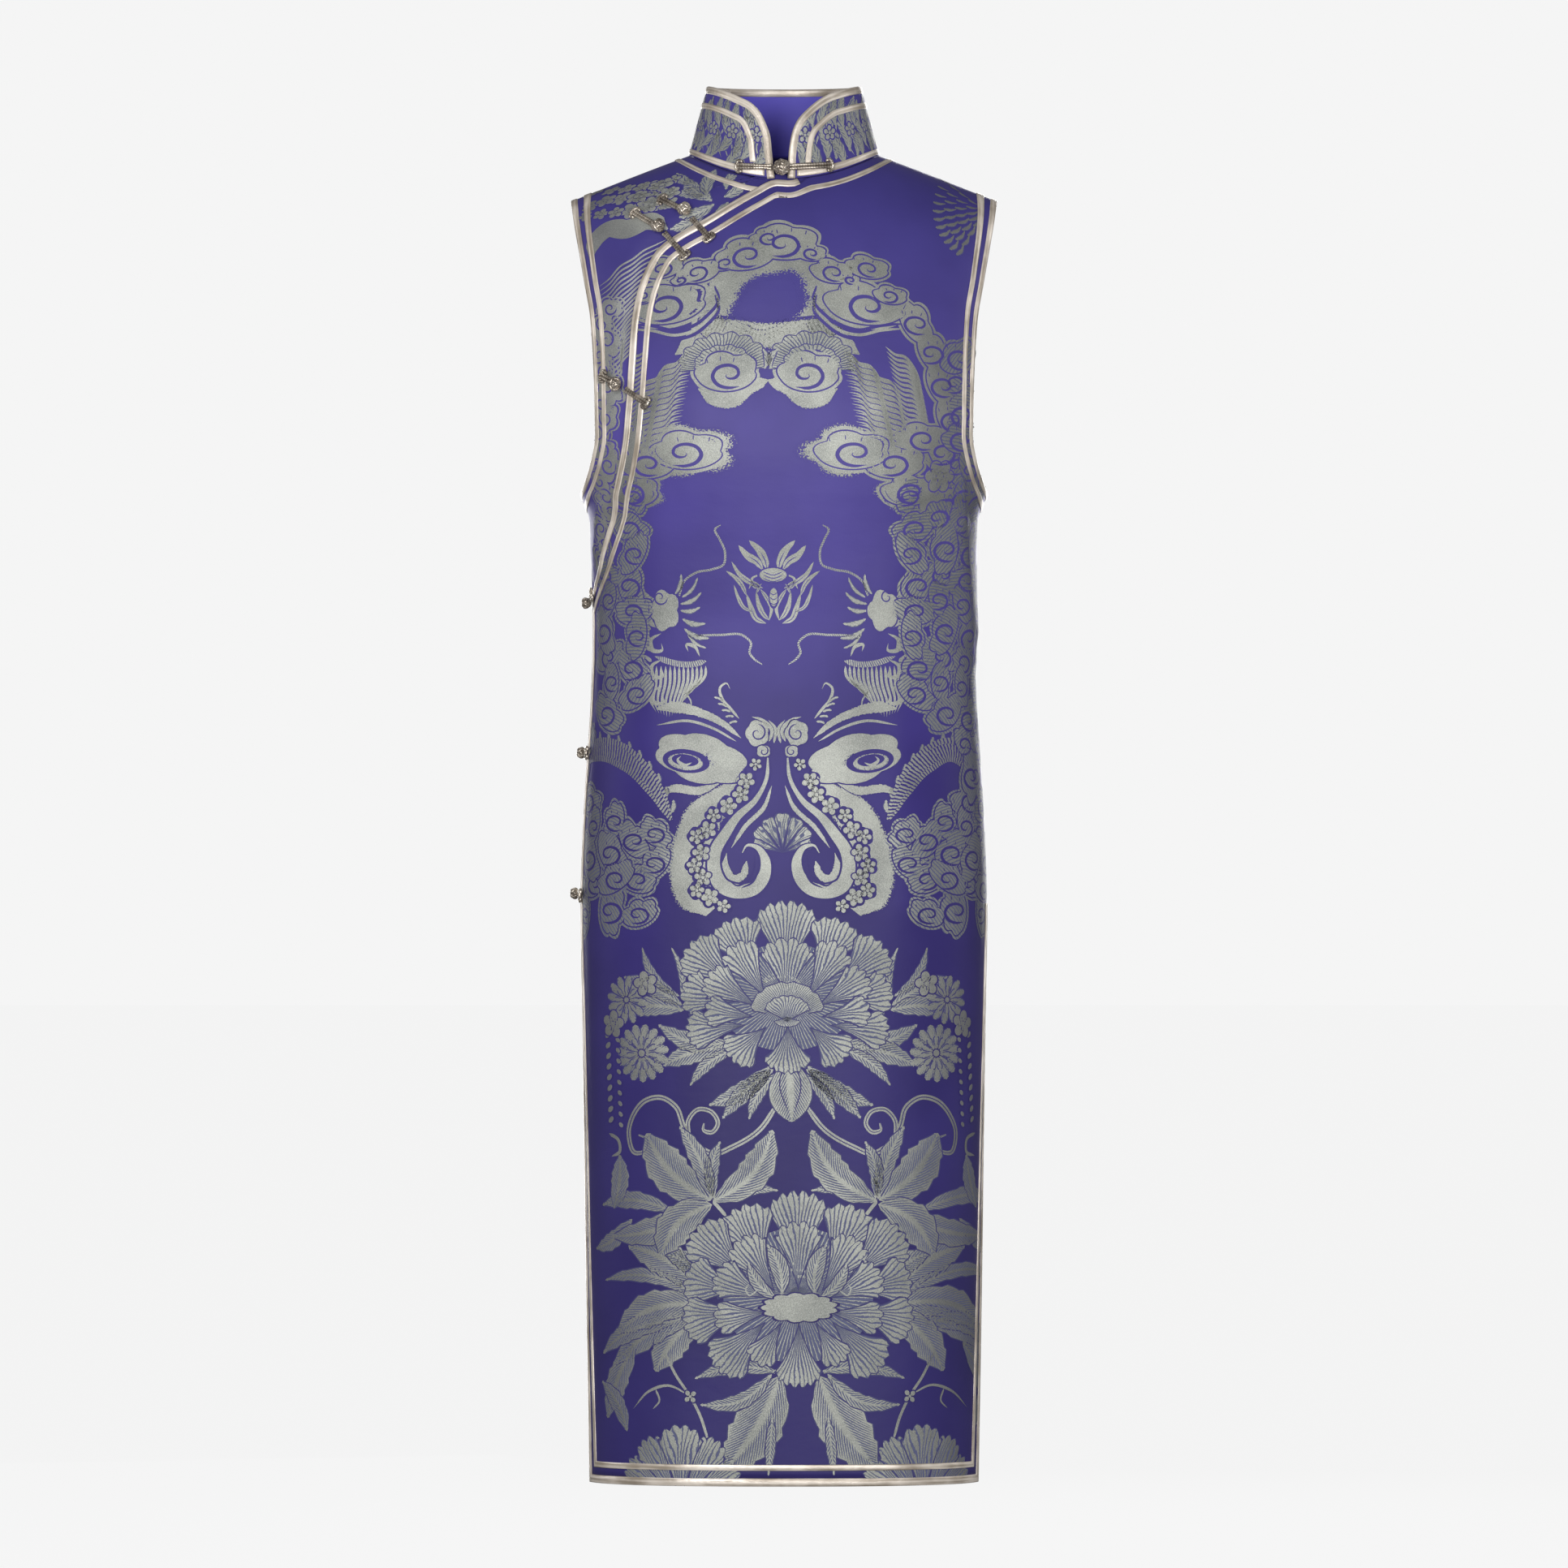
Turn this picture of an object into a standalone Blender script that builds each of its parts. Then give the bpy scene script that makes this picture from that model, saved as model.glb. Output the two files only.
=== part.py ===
# A sleeveless long dress with a stand collar and a slanted opening at the wearer's upper right.
# The cloth keeps the hollow form it has on a wearer. Sizes are in millimetres and turned into
# metres where a mesh is made. +X is the wearer's left, -Y the front, +Z up. The origin is in the
# middle of the neck, 4 mm below the shoulder seams' inner ends.

import math
from collections import namedtuple

import bmesh
import bpy
import numpy as np
from mathutils import Vector
from mathutils.geometry import delaunay_2d_cdt

MM = 0.001
SEAM = 0.3

# Walls: how far each reaches out of and into the garment's surface
PANEL_OUT, PANEL_IN = 0.0, -1.6
BINDING_OUT, BINDING_IN = 0.5, -2.0
TRIM_RISE, TRIM_THICK = 0.4, 0.7
COLLAR_IN = -2.4
COLLAR_BINDING_IN = -2.8
UNDERLAP_DROP = -4.0
UNDERLAP_RAMP = 18.0

# Widths of the bands, measured from the bound edge
BINDING_WIDTH = 7.0
TRIM_NEAR, TRIM_FAR = 12.8, 17.6
HEM_TRIM_NEAR, HEM_TRIM_FAR = 13.6, 18.8
ARMHOLE_BINDING = 6.0
ARMHOLE_TRIM_NEAR, ARMHOLE_TRIM_FAR = 10.5, 15.5
NECK_TRIM_NEAR, NECK_TRIM_FAR = 8.5, 13.5
COLLAR_TRIM_NEAR, COLLAR_TRIM_FAR = 14.8, 20.2
COLLAR_BASE_NEAR, COLLAR_BASE_FAR = 1.2, 6.4

# The body: a point is named by its way round from the middle (HALF_ROUND at the side seam) and by
# its height, which above the bust runs on over the shoulder.
HALF_ROUND = 210.0
FULLNESS = 0.03
BUST_Z = -250.0
RISE = 300.0
SHOULDER_WIDTH = 198.0
FRONT_REACH, BACK_REACH = 80.0, 95.0
NECK_SIDE_X, NECK_SIDE_Z = 82.0, 4.0
SHOULDER_TIP_X, SHOULDER_TIP_Z = 184.0, -38.0
RIDGE_ROUND = 45.0
NECK_FRONT_Y, NECK_BACK_Y = 61.0, 47.0
UNDERARM_Z = -288.0
SLIT_TOP_Z, HEM_Z = -640.0, -1138.0
SLIT_OPEN = 32.0
UNDERLAP_HIDDEN = 34.0

# Rings of the body: the half width is the one seen from the front
Ring = namedtuple("Ring", "z half_width front back")
RINGS = (
    Ring(-200, 178.5, 108, 95),
    Ring(-250, 179.0, 113, 98),
    Ring(-288, 175.0, 110, 97),
    Ring(-301, 169.8, 107, 96),
    Ring(-313, 166.6, 105, 96),
    Ring(-350, 165.6, 99, 95),
    Ring(-410, 164.4, 93, 93),
    Ring(-465, 166.0, 94, 95),
    Ring(-520, 169.6, 98, 98),
    Ring(-575, 172.8, 101, 102),
    Ring(-640, 174.8, 103, 104),
    Ring(-745, 173.2, 102, 104),
    Ring(-855, 171.5, 100, 102),
    Ring(-965, 170.1, 98, 100),
    Ring(-1080, 168.2, 96, 98),
    Ring(-1138, 167.2, 95, 97),
)

# Soft rises of the cloth: bust and creases, each a ridge from one point to another
Swell = namedtuple("Swell", "side x_top z_top x_low z_low half_width height")
SWELLS = (
    Swell(-1, 76, -215, 80, -262, 44, 5.0),
    Swell(-1, -76, -215, -80, -262, 44, 5.0),
    Swell(-1, 146, -312, 160, -405, 11, 2.6),
    Swell(-1, -158, -302, -158, -340, 9, 1.8),
    Swell(-1, 40, -470, 60, -540, 40, 2.0),
    Swell(1, 80, -130, 85, -190, 48, 4.0),
    Swell(1, -80, -130, -85, -190, 48, 4.0),
)

# Edges as seen from the front, from the top down
View = namedtuple("View", "x z")
ARMHOLE = (
    View(179.0, -66),
    View(175.0, -88),
    View(171.0, -111),
    View(167.0, -133),
    View(164.6, -160),
    View(163.0, -195),
    View(162.4, -223),
    View(162.4, -245),
    View(164.5, -256),
    View(167.3, -267),
    View(171.5, -279),
)
PLACKET = (
    View(8, -19.5),
    View(-9, -19.5),
    View(-26, -28),
    View(-45, -39),
    View(-71, -55),
    View(-89, -65),
    View(-107, -78),
    View(-117, -93.5),
    View(-125, -114),
    View(-130, -138),
    View(-133, -176),
    View(-135.5, -215),
    View(-141, -262),
    View(-147, -293),
    View(-152, -321),
    View(-158, -343),
)
PLACKET_SIDE_Z = -384.0

# The stand collar: its top ring, and its edge seen from the front at each end, top to base
COLLAR_TOP_X, COLLAR_TOP_FRONT, COLLAR_TOP_BACK, COLLAR_TOP_Z = 66.0, 52.0, 42.0, 64.0
COLLAR_HIGH = 65.0
COLLAR_FOOT = 0.5
# one radian round the collar counts as this many millimetres
ROUND_SCALE = 70.0
COLLAR_RIGHT_END = (
    View(-64.5, 63.5),
    View(-52, 59),
    View(-38, 52.5),
    View(-28, 47),
    View(-20.5, 39),
    View(-15.5, 29),
    View(-12, 19),
    View(-10.5, 6),
    View(-9, -8),
)
COLLAR_LEFT_END = (
    View(64.5, 63.5),
    View(50, 59),
    View(33, 52),
    View(20.5, 42),
    View(11.5, 32),
    View(7, 22),
    View(5, 12),
    View(3.8, 2),
    View(3.4, -8),
)

# Knotted fastenings: knot, end of the knot's strap, end of the loop's strap, knot diameter
# seat is how far the knot's strap lies above the underlap's curve at its end
Frog = namedtuple("Frog", "name knot_x knot_z pin_x pin_z loop_x loop_z knot seat")
BODY_FROGS = (
    Frog("frog_upper", -84, -48, -106, -36, -62, -73, 12.0, 0.5),
    Frog("frog_shoulder", -106, -62, -129.5, -47, -83, -88, 12.0, -0.1),
    Frog("frog_underarm", -141, -196, -155, -187.5, -115, -213.5, 12.0, 1.4),
)
COLLAR_FROG = Frog("frog_collar", -2, -9, -40, -8, 40.6, -7, 13.5, 0.5)
SideFrog = namedtuple("SideFrog", "name z end_z")
SIDE_FROGS = (
    SideFrog("frog_side_upper", -381.5, -373),
    SideFrog("frog_side_middle", -511, -511),
    SideFrog("frog_side_lower", -632, -634),
)
SIDE_KNOT, SIDE_REACH = 9.5, 26.0
CORD_LIFT, CORD_HALF_WIDTH, CORD_HALF_HIGH = 1.38, 2.8, 1.3
# The spread end: where it begins, is full and runs into the cord, with its half width there
END_STEPS = (0, 1.2, 5.5, 8.0)
END_HALF_WIDTHS = (3.6, 5.0, 5.0)
LOOP_TIP_HALF_WIDTH = 3.4
# A knot's rings, as shares of its radius from its middle, and its height as a share of its width
KNOT_RINGS = (-0.93, -0.6, 0.0, 0.6, 0.93)
KNOT_FLAT = 0.8
KNOT_GAP = 1.0
# How far the collar frog's two straps stop short of the middle of the opening
COLLAR_KNOT_SHORT, COLLAR_LOOP_SHORT = 3.5, -9.5

# Spacing of the points that carry the walls
ACROSS = (0, 34, 68, 100, 128, 152, 171, 186, 198)
SKIRT_ROWS = (-1085, -990, -890, -790, -700, -640, -580, -520, -465, -410, -360, -325)
BODICE_ROWS = tuple(range(-296, 40, 26))
HEM_WAYS = (0, 28, 56, 82, 105, 125, 142, 155)
COLLAR_ROWS = (26, 44)
CLEAR = 7.0
EDGE_SPACING, COLLAR_EDGE_SPACING, SIDE_SPACING = 13.0, 12.0, 42.0
# How far the side seam's topmost row stays below the armhole, and the underlap's foot above the slit
SEAM_DROP, FOOT_RISE = 18.0, 12.0

SATIN = (0.075, 0.052, 0.32)
CHAMPAGNE = (0.38, 0.31, 0.24)
BRONZE = (0.22, 0.18, 0.13)


def clear_scene():
    for thing in list(bpy.data.objects):
        bpy.data.objects.remove(thing, do_unlink=True)


def material(name, colour, roughness, metallic):
    made = bpy.data.materials.new(name)
    made.use_nodes = True
    shader = made.node_tree.nodes["Principled BSDF"]
    shader.inputs["Base Color"].default_value = (*colour, 1.0)
    shader.inputs["Roughness"].default_value = roughness
    shader.inputs["Metallic"].default_value = metallic
    made.diffuse_color = (*colour, 1.0)
    return made


def eased(where, knots, values):
    """A curve through a table's values that never swings past them."""
    knots = np.asarray(knots, float)
    values = np.asarray(values, float)
    step = np.diff(knots)
    slope = np.diff(values) / step
    tangent = np.zeros(len(knots))
    same = slope[:-1] * slope[1:] > 0
    left, right = slope[:-1][same], slope[1:][same]
    tangent[1:-1][same] = 2 * left * right / (left + right)
    tangent[0], tangent[-1] = slope[0], slope[-1]
    where = np.clip(where, knots[0], knots[-1])
    at = np.clip(np.searchsorted(knots, where) - 1, 0, len(step) - 1)
    t = (where - knots[at]) / step[at]
    rise = values[at + 1] - values[at]
    start = tangent[at] * step[at]
    end = tangent[at + 1] * step[at]
    return values[at] + t * start + t * t * (3 * rise - 2 * start - end) + t**3 * (start + end - 2 * rise)


def ring_table(column):
    rows = sorted(RINGS, key=lambda ring: ring.z)
    return [ring.z for ring in rows], [getattr(ring, column) for ring in rows]


def section(around):
    """How wide and how deep the section is at this way round, as shares of its half sizes."""
    angle = around / HALF_ROUND * math.pi / 2
    wide = (np.sin(angle) + FULLNESS * np.sin(3 * angle)) / (1 - FULLNESS)
    deep = (np.cos(angle) - FULLNESS * np.cos(3 * angle)) / (1 - FULLNESS)
    return wide, deep


def slit_edge(z):
    """The way round of the skirt's edges: the side seam, and a little less beside the slit."""
    below = np.clip((SLIT_TOP_Z - z) / (SLIT_TOP_Z - HEM_Z), 0, None)
    return HALF_ROUND - SLIT_OPEN * below**1.1


def ridge_height(x):
    slope = (NECK_SIDE_Z - SHOULDER_TIP_Z) / (SHOULDER_TIP_X - NECK_SIDE_X)
    return NECK_SIDE_Z + slope * (math.hypot(NECK_SIDE_X, RIDGE_ROUND) - np.hypot(x, RIDGE_ROUND))


def swollen(side, x, z):
    """How far the cloth stands out at a place, from the table of soft rises."""
    total = np.zeros_like(x)
    for rise in SWELLS:
        if rise.side != side:
            continue
        top = np.array([rise.x_top, rise.z_top], float)
        run = np.array([rise.x_low, rise.z_low]) - top
        share = np.clip(((x - top[0]) * run[0] + (z - top[1]) * run[1]) / (run @ run), 0, 1)
        away = np.hypot(x - top[0] - share * run[0], z - top[1] - share * run[1])
        total += rise.height * np.exp(-((away / rise.half_width) ** 2))
    return total


def body(side, place):
    """Points of the dress's outer surface; side is -1 for the front and 1 for the back."""
    around, height = place[..., 0], place[..., 1]
    wide, deep = section(around)
    low = np.minimum(height, BUST_Z)
    zs, widths = ring_table("half_width")
    depths = ring_table("front" if side < 0 else "back")[1]
    half = eased(low, zs, widths) / section(slit_edge(low))[0]
    depth = eased(low, zs, depths)
    t = np.clip((height - BUST_Z) / RISE, 0, 1.15)
    start = (1 - t) ** 3 + 3 * (1 - t) ** 2 * t
    end = 1 - start
    lift = 3 * (1 - t) ** 2 * t
    reach = 3 * (1 - t) * t * t
    x = wide * (half * start + SHOULDER_WIDTH * end)
    y = side * deep * (depth * start + (FRONT_REACH if side < 0 else BACK_REACH) * reach)
    z = low * start + RISE / 3 * lift + ridge_height(SHOULDER_WIDTH * wide) * end
    out = swollen(side, x, z) * (1 - t) ** 2
    lean = np.hypot(wide / half, deep / depth)
    x = x + out * wide / half / lean
    y = y + side * out * deep / depth / lean
    return np.stack([x, y, z], axis=-1)


def front(place):
    return body(-1, place)


def back(place):
    return body(1, place)


def slopes(surface, place):
    step = 0.5
    one = (surface(place + [step, 0]) - surface(place - [step, 0])) / (2 * step)
    two = (surface(place + [0, step]) - surface(place - [0, step])) / (2 * step)
    return one, two


def normals(surface, place, outward):
    """Unit normals; outward is 1 where around cross height already points out."""
    one, two = slopes(surface, place)
    cross = np.cross(one, two) * outward
    return cross / np.linalg.norm(cross, axis=-1, keepdims=True)


def find(surface, target, axes, guess):
    """The places at which the surface has the target's two coordinates."""
    place = np.array(guess, float)
    for _ in range(60):
        miss = target - surface(place)[:, axes]
        one, two = slopes(surface, place)
        a, b = one[:, axes[0]], two[:, axes[0]]
        c, d = one[:, axes[1]], two[:, axes[1]]
        det = a * d - b * c
        move = np.stack([(d * miss[:, 0] - b * miss[:, 1]) / det, (a * miss[:, 1] - c * miss[:, 0]) / det], 1)
        length = np.linalg.norm(move, axis=1, keepdims=True)
        place += move * np.minimum(1, 12 / np.maximum(length, 1e-9))
    return place


def curve(points, spacing):
    """Evenly spaced places on a smooth line through the given ones."""
    points = np.asarray(points, float)
    reach = np.r_[0, np.cumsum(np.linalg.norm(np.diff(points, axis=0), axis=1))]
    count = max(2, int(round(reach[-1] / spacing)) + 1)
    at = np.linspace(0, reach[-1], count)
    slope = np.gradient(points, reach, axis=0)
    k = np.clip(np.searchsorted(reach, at, side="right") - 1, 0, len(points) - 2)
    gap = (reach[k + 1] - reach[k])[:, None]
    t = (at - reach[k])[:, None] / gap
    first = (2 * t**3 - 3 * t**2 + 1) * points[k] + (t**3 - 2 * t**2 + t) * gap * slope[k]
    last = (3 * t**2 - 2 * t**3) * points[k + 1] + (t**3 - t**2) * gap * slope[k + 1]
    return first + last


def inset(surface, line, distance, turn=1):
    """The line moved over the surface by a true distance, to its left (turn 1) or right (-1)."""
    along = np.gradient(line, axis=0)
    one, two = slopes(surface, line)
    e, f, g = (one * one).sum(1), (one * two).sum(1), (two * two).sum(1)
    across = np.stack([-along[:, 1], along[:, 0]], axis=1) * turn
    det = e * g - f * f
    raised = np.stack([g * across[:, 0] - f * across[:, 1], e * across[:, 1] - f * across[:, 0]], 1) / det[:, None]
    size = np.sqrt((raised * across).sum(1, keepdims=True))
    return line + distance * raised / size


def crossing(line, end, value, axis):
    """A line's last point carried on straight until it reaches a value."""
    first, last = (line[1], line[0]) if end == 0 else (line[-2], line[-1])
    return last + (last - first) * (value - last[axis]) / (last[axis] - first[axis])


def outside(place, line):
    """Distance from a line, counted as negative on its left."""
    start, run = line[:-1], np.diff(line, axis=0)
    away = place[..., None, :] - start
    share = np.clip((away * run).sum(-1) / (run * run).sum(-1), 0, 1)
    gap = away - share[..., None] * run
    size = np.hypot(gap[..., 0], gap[..., 1])
    near = size.argmin(-1)
    turn = run[near, 0] * gap_at(gap, near)[..., 1] - run[near, 1] * gap_at(gap, near)[..., 0]
    return np.take_along_axis(size, near[..., None], -1)[..., 0] * -np.sign(turn)


def gap_at(gap, near):
    return np.take_along_axis(gap, near[..., None, None], -2)[..., 0, :]


def within(place, outline):
    """Which places lie inside a closed outline."""
    x, y = place[:, 0][:, None], place[:, 1][:, None]
    a, b = outline, np.roll(outline, -1, axis=0)
    spans = (a[:, 1] > y) != (b[:, 1] > y)
    rise = np.where(b[:, 1] == a[:, 1], 1, b[:, 1] - a[:, 1])
    return (spans & (x < (b[:, 0] - a[:, 0]) * (y - a[:, 1]) / rise + a[:, 0])).sum(1) % 2 == 1


def slab(name, outer, inner, faces, look):
    """A closed wall between two sets of points that share one set of faces."""
    count = len(outer)
    edges = {}
    for face in faces:
        for a, b in zip(face, face[1:] + face[:1]):
            edges[(a, b)] = True
    walls = [(b, a, a + count, b + count) for a, b in edges if (b, a) not in edges]
    shell = [tuple(face) for face in faces]
    lining = [tuple(index + count for index in reversed(face)) for face in faces]
    points = np.concatenate([outer, inner]) * MM
    mesh = bpy.data.meshes.new(name)
    mesh.from_pydata([tuple(point) for point in points], [], shell + lining + walls)
    shape = bmesh.new()
    shape.from_mesh(mesh)
    bmesh.ops.delete(shape, geom=[v for v in shape.verts if not v.link_faces], context="VERTS")
    bmesh.ops.recalc_face_normals(shape, faces=shape.faces)
    if shape.calc_volume(signed=True) < 0:
        bmesh.ops.reverse_faces(shape, faces=shape.faces)
    shape.to_mesh(mesh)
    shape.free()
    mesh.shade_smooth()
    mesh.set_sharp_from_angle(angle=math.radians(35))
    mesh.materials.append(look)
    thing = bpy.data.objects.new(name, mesh)
    bpy.context.collection.objects.link(thing)
    return thing


def sheet(name, surface, outward, outline, lines, spread, look, out=PANEL_OUT, deep=PANEL_IN):
    """A panel of cloth: its outline and its bands' edges carry points, and so does a spread."""
    keep = within(spread, outline)
    closed = np.vstack([outline, outline[:1]])
    for line in [closed, *lines]:
        keep &= np.abs(outside(spread, line)) > CLEAR
    spread = spread[keep]
    points = [Vector(point) for point in np.vstack([outline, *lines, spread])]
    edges, start = [], len(outline)
    for line in lines:
        edges += [(start + k, start + k + 1) for k in range(len(line) - 1)]
        start += len(line)
    made = delaunay_2d_cdt(points, edges, [list(range(len(outline)))], 1, 1e-4)
    place = np.array([tuple(point) for point in made[0]])
    faces = [list(face) for face in made[2] if within(place[list(face)].mean(0)[None], outline)[0]]
    normal = normals(surface, place, outward)
    points = surface(place)
    slab(name, points + normal * out, points + normal * deep, faces, look)


def grid_faces(rows, columns, ring=False):
    faces = []
    for row in range(rows - 1):
        for k in range(columns if ring else columns - 1):
            after = (k + 1) % columns
            low, high = row * columns, (row + 1) * columns
            faces.append([low + k, low + after, high + after, high + k])
    return faces


def band(name, stretches, look, out, deep, ring=False):
    """A narrow strip of cloth: stretches give a surface, its outward turn and the two edges."""
    outer, inner = [], []
    for row in (0, 1):
        for surface, outward, edges in stretches:
            points, normal = surface(edges[row]), normals(surface, edges[row], outward)
            outer.append(points + normal * out)
            inner.append(points + normal * deep)
    outer, inner = np.vstack(outer), np.vstack(inner)
    slab(name, outer, inner, grid_faces(2, len(outer) // 2, ring), look)


def trim(name, stretches, look, ring=False):
    band(name, stretches, look, TRIM_RISE + TRIM_THICK, TRIM_RISE, ring)


def rod(name, points, normal, half_width, half_high, look, sides=8):
    """A round or flat cord through the points, with its own width and height at each."""
    along = np.gradient(points, axis=0)
    along /= np.linalg.norm(along, axis=1, keepdims=True)
    across = np.cross(normal, along)
    across /= np.linalg.norm(across, axis=1, keepdims=True)
    turn = (np.arange(sides) + 0.5) * 2 * math.pi / sides
    wide = np.asarray(half_width, float)[:, None, None]
    high = np.asarray(half_high, float)[:, None, None]
    loop = across[:, None] * np.cos(turn)[:, None] * wide + normal[:, None] * np.sin(turn)[:, None] * high
    spots = (points[:, None] + loop).reshape(-1, 3) * MM
    faces = grid_faces(len(points), sides, ring=True)
    faces += [list(range(sides))[::-1], list(range(len(spots) - sides, len(spots)))]
    mesh = bpy.data.meshes.new(name)
    mesh.from_pydata([tuple(spot) for spot in spots], [], faces)
    shape = bmesh.new()
    shape.from_mesh(mesh)
    bmesh.ops.recalc_face_normals(shape, faces=shape.faces)
    if shape.calc_volume(signed=True) < 0:
        bmesh.ops.reverse_faces(shape, faces=shape.faces)
    shape.to_mesh(mesh)
    shape.free()
    mesh.shade_smooth()
    mesh.set_sharp_from_angle(angle=math.radians(50))
    mesh.materials.append(look)
    thing = bpy.data.objects.new(name, mesh)
    bpy.context.collection.objects.link(thing)


def front_view(table, guess_scale=1.15):
    """The places on the front at which it has the x and z of a table's rows."""
    target = np.array([[view.x, view.z] for view in table], float)
    guess = np.stack([target[:, 0] * guess_scale, target[:, 1]], 1)
    return find(front, target, [0, 2], guess)


def armhole(side):
    """One armhole's edge in the front's or the back's places, shoulder to underarm, at +X."""
    surface = front if side < 0 else back
    target = np.array([[view.x, view.z] for view in ARMHOLE], float)
    guess = np.stack([np.full(len(target), 150.0), target[:, 1]], 1)
    middle = find(surface, target, [0, 2], guess)
    tip_share = SHOULDER_TIP_X / SHOULDER_WIDTH
    ways = np.linspace(0, HALF_ROUND, 400)
    tip = np.array([[np.interp(tip_share, section(ways)[0], ways), BUST_Z + RISE]])
    return curve(np.vstack([tip, middle, [[HALF_ROUND, UNDERARM_Z]]]), EDGE_SPACING)


def neckline(side, count):
    """The neck's edge from the middle to the shoulder at +X, an oval seen from above."""
    turn = np.linspace(0, math.pi / 2, count)
    reach = NECK_FRONT_Y if side < 0 else NECK_BACK_Y
    target = np.stack([NECK_SIDE_X * np.sin(turn), side * reach * np.cos(turn)], 1)
    guess = np.stack([target[:, 0] * 1.1, np.linspace(-20, 40, count)], 1)
    return find(front if side < 0 else back, target, [0, 1], guess)


def mirrored(line):
    return line * [-1, 1]


def spread_points():
    rows = [(side * way, z) for z in SKIRT_ROWS + BODICE_ROWS for way in ACROSS for side in (-1, 1)]
    return np.array(sorted(set(rows)), float)


def skirt_edge(low, high, spacing, pull=0.0):
    """The skirt's side edge at +X from one height to another."""
    count = max(2, int(abs(high - low) / spacing) + 1)
    z = np.linspace(low, high, count)
    return np.stack([slit_edge(z) - pull, z], 1)


def skirt_loop(surface, from_side, from_hem, top):
    """A line down one side of the skirt, along the hem and up the other side, left to right."""
    z = np.linspace(top, HEM_Z + from_hem, 10)
    right = np.stack([slit_edge(z), z], 1)
    right = inset(surface, right[::-1], from_side)[::-1]
    right[0, 1] = top
    across = np.array([-way for way in HEM_WAYS[:0:-1]] + list(HEM_WAYS), float)
    hem = np.stack([across, np.full(len(across), HEM_Z + from_hem)], 1)
    return np.vstack([mirrored(right), hem, right[::-1]])


class Pattern:
    """The edges from which all the pieces on the body are cut, as places on the surface."""

    def __init__(self):
        self.ridge = BUST_Z + RISE - SEAM
        self.seam = HALF_ROUND - SEAM / 2
        self.hole_front, self.hole_back = armhole(-1), armhole(1)
        self.neck_front, self.neck_back = neckline(-1, 13), neckline(1, 11)
        start = self.neck_front[np.searchsorted(self.neck_front[:, 0], 6)]
        rows = front_view(PLACKET)
        side = np.array([[-self.seam, PLACKET_SIDE_Z]])
        slanted = curve(np.vstack([start[None], rows, side]), EDGE_SPACING)
        down = mirrored(skirt_edge(PLACKET_SIDE_Z - SIDE_SPACING, SLIT_TOP_Z, SIDE_SPACING, SEAM / 2))
        self.placket = np.vstack([slanted, down])

    def hole(self, side, distance):
        """The armhole's edge moved into the cloth, ending on the shoulder and side seams."""
        line = self.hole_front if side < 0 else self.hole_back
        surface = front if side < 0 else back
        moved = inset(surface, line[::-1], distance)[::-1]
        moved[0] = crossing(moved, 0, BUST_Z + RISE, 1)
        moved[-1] = crossing(moved, -1, HALF_ROUND, 0)
        return moved

    def hole_border(self, side):
        line = self.hole(side, ARMHOLE_BINDING + SEAM)
        line[0, 1] = self.ridge
        line[-1, 0] = self.seam
        return line

    def neck(self, side, distance):
        line = self.neck_front if side < 0 else self.neck_back
        surface = front if side < 0 else back
        moved = inset(surface, line[::-1], distance)[::-1]
        moved[-1] = crossing(moved, -1, BUST_Z + RISE, 1)
        moved[0, 0] = 0
        return moved

    def neck_border(self, side):
        line = self.neck(side, SEAM)
        line[-1, 1] = self.ridge
        return line

    def side_seam(self, top):
        z = np.array([row for row in SKIRT_ROWS if SLIT_TOP_Z < row < top] + [top])
        return np.stack([np.full(len(z), self.seam), z], 1)


def underlap_surface(pattern):
    """The front's surface, let down to pass under the slanted edge."""
    neck = pattern.neck_front[pattern.neck_front[:, 0] > pattern.placket[0, 0] + 4]
    line = np.vstack([neck[::-1], pattern.placket])

    def surface(place):
        share = np.clip((outside(place, line) - 2) / UNDERLAP_RAMP, 0, 1)
        share = share * share * (3 - 2 * share)
        normal = normals(front, place, 1)
        return front(place) + normal * (UNDERLAP_DROP * (1 - share))[..., None]

    return surface


def make_back(pattern, look, edge_look):
    spread = spread_points()
    loop = skirt_loop(back, BINDING_WIDTH + SEAM, BINDING_WIDTH + 2 * SEAM, SLIT_TOP_Z)
    hole = pattern.hole_border(1)
    neck = pattern.neck_border(1)
    seam = pattern.side_seam(hole[-1, 1] - SEAM_DROP)
    step = np.array([[pattern.seam, SLIT_TOP_Z]])
    right = np.vstack([step, seam, hole[::-1], neck[::-1]])
    outline = np.vstack([loop, right, mirrored(right)[::-1][1:]])
    trims = [skirt_loop(back, away, low, SLIT_TOP_Z - SEAM) for away, low in
             ((TRIM_NEAR, HEM_TRIM_NEAR), (TRIM_FAR, HEM_TRIM_FAR))]
    holes = [pattern.hole(1, away) for away in (ARMHOLE_TRIM_NEAR, ARMHOLE_TRIM_FAR)]
    necks = [pattern.neck(1, away) for away in (NECK_TRIM_NEAR, NECK_TRIM_FAR)]
    necks = [np.vstack([line[::-1], mirrored(line)[1:]]) for line in necks]
    lines = trims + holes + [mirrored(line) for line in holes] + necks
    sheet("back_panel", back, -1, outline, lines, spread, look)
    edges = [skirt_loop(back, away, low, SLIT_TOP_Z - SEAM) for away, low in
             ((0, 0), (BINDING_WIDTH, BINDING_WIDTH + SEAM))]
    band("back_hem_binding", [(back, -1, edges)], edge_look, BINDING_OUT, BINDING_IN)
    trim("back_hem_trim", [(back, -1, trims)], edge_look)
    trim("neckline_trim_back", [(back, -1, [line[1:-1] for line in necks])], edge_look)


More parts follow.
